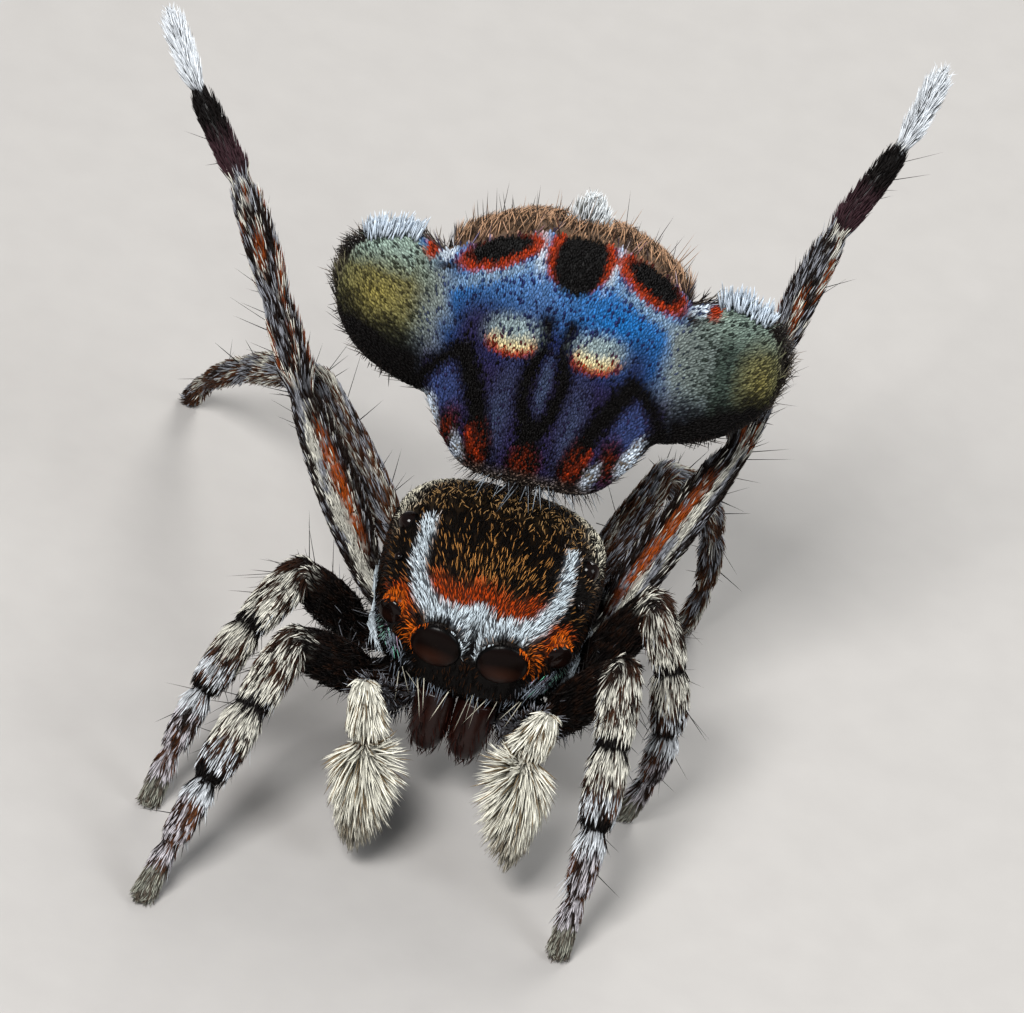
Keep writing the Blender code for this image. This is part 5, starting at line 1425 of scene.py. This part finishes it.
def buildPalp(name, side, mouth, knee, waist, tip):
    mouth, knee, waist, tip = (np.array((side * p[0], p[1], p[2])) for p in (mouth, knee, waist, tip))
    bend = mouth + (side * 0.20, -0.30, -0.02)
    path = [(0.0, mouth), (0.25, (mouth + bend) / 2), (0.5, bend), (0.75, (bend + knee) / 2),
            (0.95, bend + (knee - bend) * 0.93)]
    place = np.linspace(0, 0.95, palps["armRows"])
    radius = (palps["armRadius"] - palps["armInset"]) * (1 + 0.06 * np.sin(place * 14))
    arm = tubeGrid(curveVector(path, place), radius, palps["armSides"])
    arm = skinMesh("arm", arm, (0.0, 0.0, 0.48, 1.0))
    at = pointsOf(arm)
    paint = Paint(palps["umber"] * 0.6, len(at))
    paint.lay(np.ones(len(at)), legs["steel"], palps["umber"] * 0.5, 0.40)
    setCoat(arm, paint, np.tile(unit(knee - mouth), (len(at), 1)), 1.0, 1.0)
    top = knee + unit(knee - waist) * 0.06
    place = np.linspace(0, 1, palps["brushRows"])
    line = pick(place < palps["waist"], blend(place / palps["waist"], top, waist),
                blend((place - palps["waist"]) / (1 - palps["waist"]), waist, tip))
    radius = palps["brushRadius"] * curve(palps["shape"], place) - palps["inset"]
    way = np.tile(unit(tip - top), (len(place), 1))
    brush = skinMesh("brush", tubeGrid(line, radius, palps["brushSides"], along=way), (0.52, 0.0, 0.48, 1.0))
    at = pointsOf(brush)
    allPlace = perRow(place, palps["brushSides"])
    paint = Paint(palps["ivory"], len(at))
    paint.lay(np.ones(len(at)), palps["ivory"], palps["straw"] * 0.7, 0.86)
    paint.lay(fade(0.80 - allPlace, 0.3), palps["grey"] * 1.5, palps["grey"] * 0.8, 0.70)
    for joint, width in ((0.13, 0.006), (0.345, 0.022)):
        paint.lay(fade(np.abs(allPlace - joint) - width, 0.01), palps["straw"], palps["umber"], 0.3)
    # bristles splay from the waist, most on the inner side, and close in toward the tip
    lift = ribbon((0, 0.1, 0.2, 0.31, 0.36, 0.44, 0.6, 0.76, 0.9, 1),
                  (0.6, 1.1, 2.0, 2.6, 4.2, 3.5, 2.5, 2.4, 2.4, 2.5), allPlace)
    lift = lift * (0.80 + 0.42 * perSide(-side * np.cos(around(palps["brushSides"])), len(place)))
    length = ribbon((0, 0.10, 0.20, 0.30, 0.36, 0.45, 0.6, 0.76, 0.88, 1),
                    (0.35, 0.52, 0.60, 0.42, 0.72, 0.88, 0.90, 0.84, 0.62, 0.42), allPlace)
    waistBare, jointBare = np.abs(allPlace - 0.335) - 0.03, np.abs(allPlace - 0.125) - 0.008
    density = (1 - fade(waistBare, 0.02)) * (1 - 0.8 * fade(jointBare, 0.01))
    setCoat(brush, paint, np.tile(unit(tip - top), (len(at), 1)), density, length, lift)
    title = "palp" + name[5:].capitalize()
    growCoat(title + "Bristles", brush, "random", longHair, brushFinish, "white_brush", **palps["bristles"])
    growCoat(title + "ArmHair", arm, "random", bristle, legHairFinish, "cuticle", **palps["armHair"])
    finishPiece(brush, title + "BrushSkin", brushSkinFinish, (name + "_brush",))
    finishPiece(arm, title + "ArmSkin", cuticleFinish, (name + "_arm",))


brushSkinFinish = material("brushSkin", 0.6, bump=0.5, scale=12000.0, amount=0.6)
cuticleFinish = material("darkCuticle", 0.32, bump=0.3, scale=9000.0, amount=0.5, coat=0.08, gloss=0.25)
for row in palpRows:
    buildPalp(*row)
print("palps are dressed")


# Mouthparts, underside, stalk and spinnerets
lower = {
    # a tube's two ends and its radius, and (place, share of that radius) along it
    "chelicera": ((0.172, -0.90, 1.08), (0.158, -1.02, 0.55), 0.166),
    "cheliceraShape": ((0.0, 1.0), (0.15, 1.04), (0.45, 1.02), (0.75, 0.90), (0.93, 0.62), (1.0, 0.24)),
    "spinneret": ((0.05, 1.36, 4.10), (0.05, 1.44, 4.42), 0.125), "tuftFrom": 4.14,
    "spinneretShape": ((0.0, 1.0), (0.4, 0.98), (0.7, 0.85), (0.9, 0.55), (1.0, 0.2)),
    # half width and half length of the plate, its upper side, and (drop, share) of its rows
    "sternum": (0.42, 0.68, 1.08),
    "sternumRows": ((0.0, 0.3), (0.0, 0.9), (0.03, 0.97), (0.08, 1.0), (0.20, 0.96), (0.27, 0.84),
                    (0.315, 0.6),
                    (0.34, 0.25)),
    "endite": ((0.21, -0.62, 0.88), (0.13, 0.20, 0.12)),
    "stalk": ((0, 0.98, 1.42), (0.02, 1.16, 1.58), (0.06, 1.20, 1.90), (0.08, 1.12, 2.40)),
    "stalkRadius": 0.11, "inset": 0.006, "voxel": 0.022, "soften": 4, "rows": 40,
    "wine": tone(0.19, 0.07, 0.04), "soot": tone(0.08, 0.055, 0.045), "white": tone(0.90, 0.92, 0.93),
    "grey": tone(0.50, 0.50, 0.48),
    "cheliceraHair": dict(Density=330.0, Length=0.12, Width=0.008, Lift=17.0, Tangle=0.4, Seed=61),
    "sternumHair": dict(Density=500.0, Length=0.11, Width=0.011, Lift=20.0, Tangle=0.4, Seed=62),
    "stalkHair": dict(Density=700.0, Length=0.10, Width=0.009, Lift=25.0, Tangle=0.5, Seed=63),
    "spinneretHair": dict(Density=2600.0, Length=0.15, Width=0.012, Lift=24.0, Tangle=0.35, Seed=64),
}


def plainPaint(mesh, pale, dark, share, lie, density=1.0):
    count = len(mesh.vertices)
    paint = Paint(pale, count)
    paint.lay(np.ones(count), pale, dark, share)
    setCoat(mesh, paint, np.tile(np.array(lie, float), (count, 1)), density, 1.0)


def buildLower():
    place = np.linspace(0, 1, lower["rows"])
    for side, label in ((-1, "right"), (1, "left")):
        top, end, thick = lower["chelicera"]
        top, end = np.array(top) * (side, 1, 1), np.array(end) * (side, 1, 1)
        radius = thick * curve(lower["cheliceraShape"], place) - lower["inset"]
        mesh = skinMesh("chelicera", tubeGrid(blend(place, top, end), radius, 40))
        plainPaint(mesh, lower["wine"], lower["soot"], 0.75, end - top, fade(pointsOf(mesh)[:, 2] - 1.0, 0.1))
        title = "chelicera" + label.capitalize()
        growCoat(title + "Hair", mesh, "random", bristle, legHairFinish, "cuticle", **lower["cheliceraHair"])
        finishPiece(mesh, title + "Skin", cuticleFinish, ("chelicera_" + label,))
    wide, long, high = lower["sternum"]
    turn = around(48)
    rim = np.stack([wide * np.cos(turn), 0.03 + long * np.sin(turn), 0 * turn], -1)
    rows = [rim * (share, share, 1) + (0, 0.03 * (1 - share), high - drop)
            for drop, share in lower["sternumRows"]]
    centre, radii = lower["endite"]
    tilt = np.linspace(0.03, math.pi - 0.03, 24)[:, None]
    shapes = [np.array(rows)]
    for side in (-1, 1):
        shapes.append(np.stack([side * centre[0] + radii[0] * np.sin(tilt) * np.cos(turn),
                                centre[1] + radii[1] * np.cos(tilt) + 0 * turn,
                                centre[2] + radii[2] * np.sin(tilt) * np.sin(turn)], -1))
    mesh = oneSkin("sternum", shapes, lower["voxel"], lower["soften"])
    unwrapByFacing(mesh, (0, 0, 0.9), 1.7)
    plainPaint(mesh, legs["cream"], lower["soot"], 0.25, (0, 0.4, -0.2),
               fade(pointsOf(mesh)[:, 2] - 1.0, 0.1))
    growCoat("sternumHair", mesh, "random", bristle, legHairFinish, "cuticle", **lower["sternumHair"])
    finishPiece(mesh, "sternumSkin", cuticleFinish, ("sternum",))
    stalk = [(k / 3, point) for k, point in enumerate(lower["stalk"])]
    mesh = skinMesh("stalk", tubeGrid(curveVector(stalk, place), lower["stalkRadius"] + 0 * place, 30))
    plainPaint(mesh, fan["ash"], lower["soot"], 0.35, (0, 0, 1))
    growCoat("pedicelHair", mesh, "random", bristle, fanFurFinish, "cuticle", **lower["stalkHair"])
    finishPiece(mesh, "pedicelSkin", cuticleFinish, ("pedicel",))
    base, end, thick = lower["spinneret"]
    base, end = np.array(base), np.array(end)
    mesh = skinMesh("spinnerets", tubeGrid(blend(place, base, end),
                                           thick * curve(lower["spinneretShape"], place), 36))
    tuft = fade(lower["tuftFrom"] - pointsOf(mesh)[:, 2], 0.05)
    plainPaint(mesh, lower["white"], lower["grey"], 0.82, end - base, tuft)
    mesh.transform(fanTilt)
    growCoat("spinneretHair", mesh, "random", bristle, fanFurFinish, "cuticle", **lower["spinneretHair"])
    finishPiece(mesh, "spinneretSkin", cuticleFinish, ("spinnerets",))


buildLower()
print("mouthparts, underside, stalk and spinnerets are dressed")


for shape in (bristle, longHair, scale):
    bpy.data.objects.remove(shape)  # every coat has its own copies
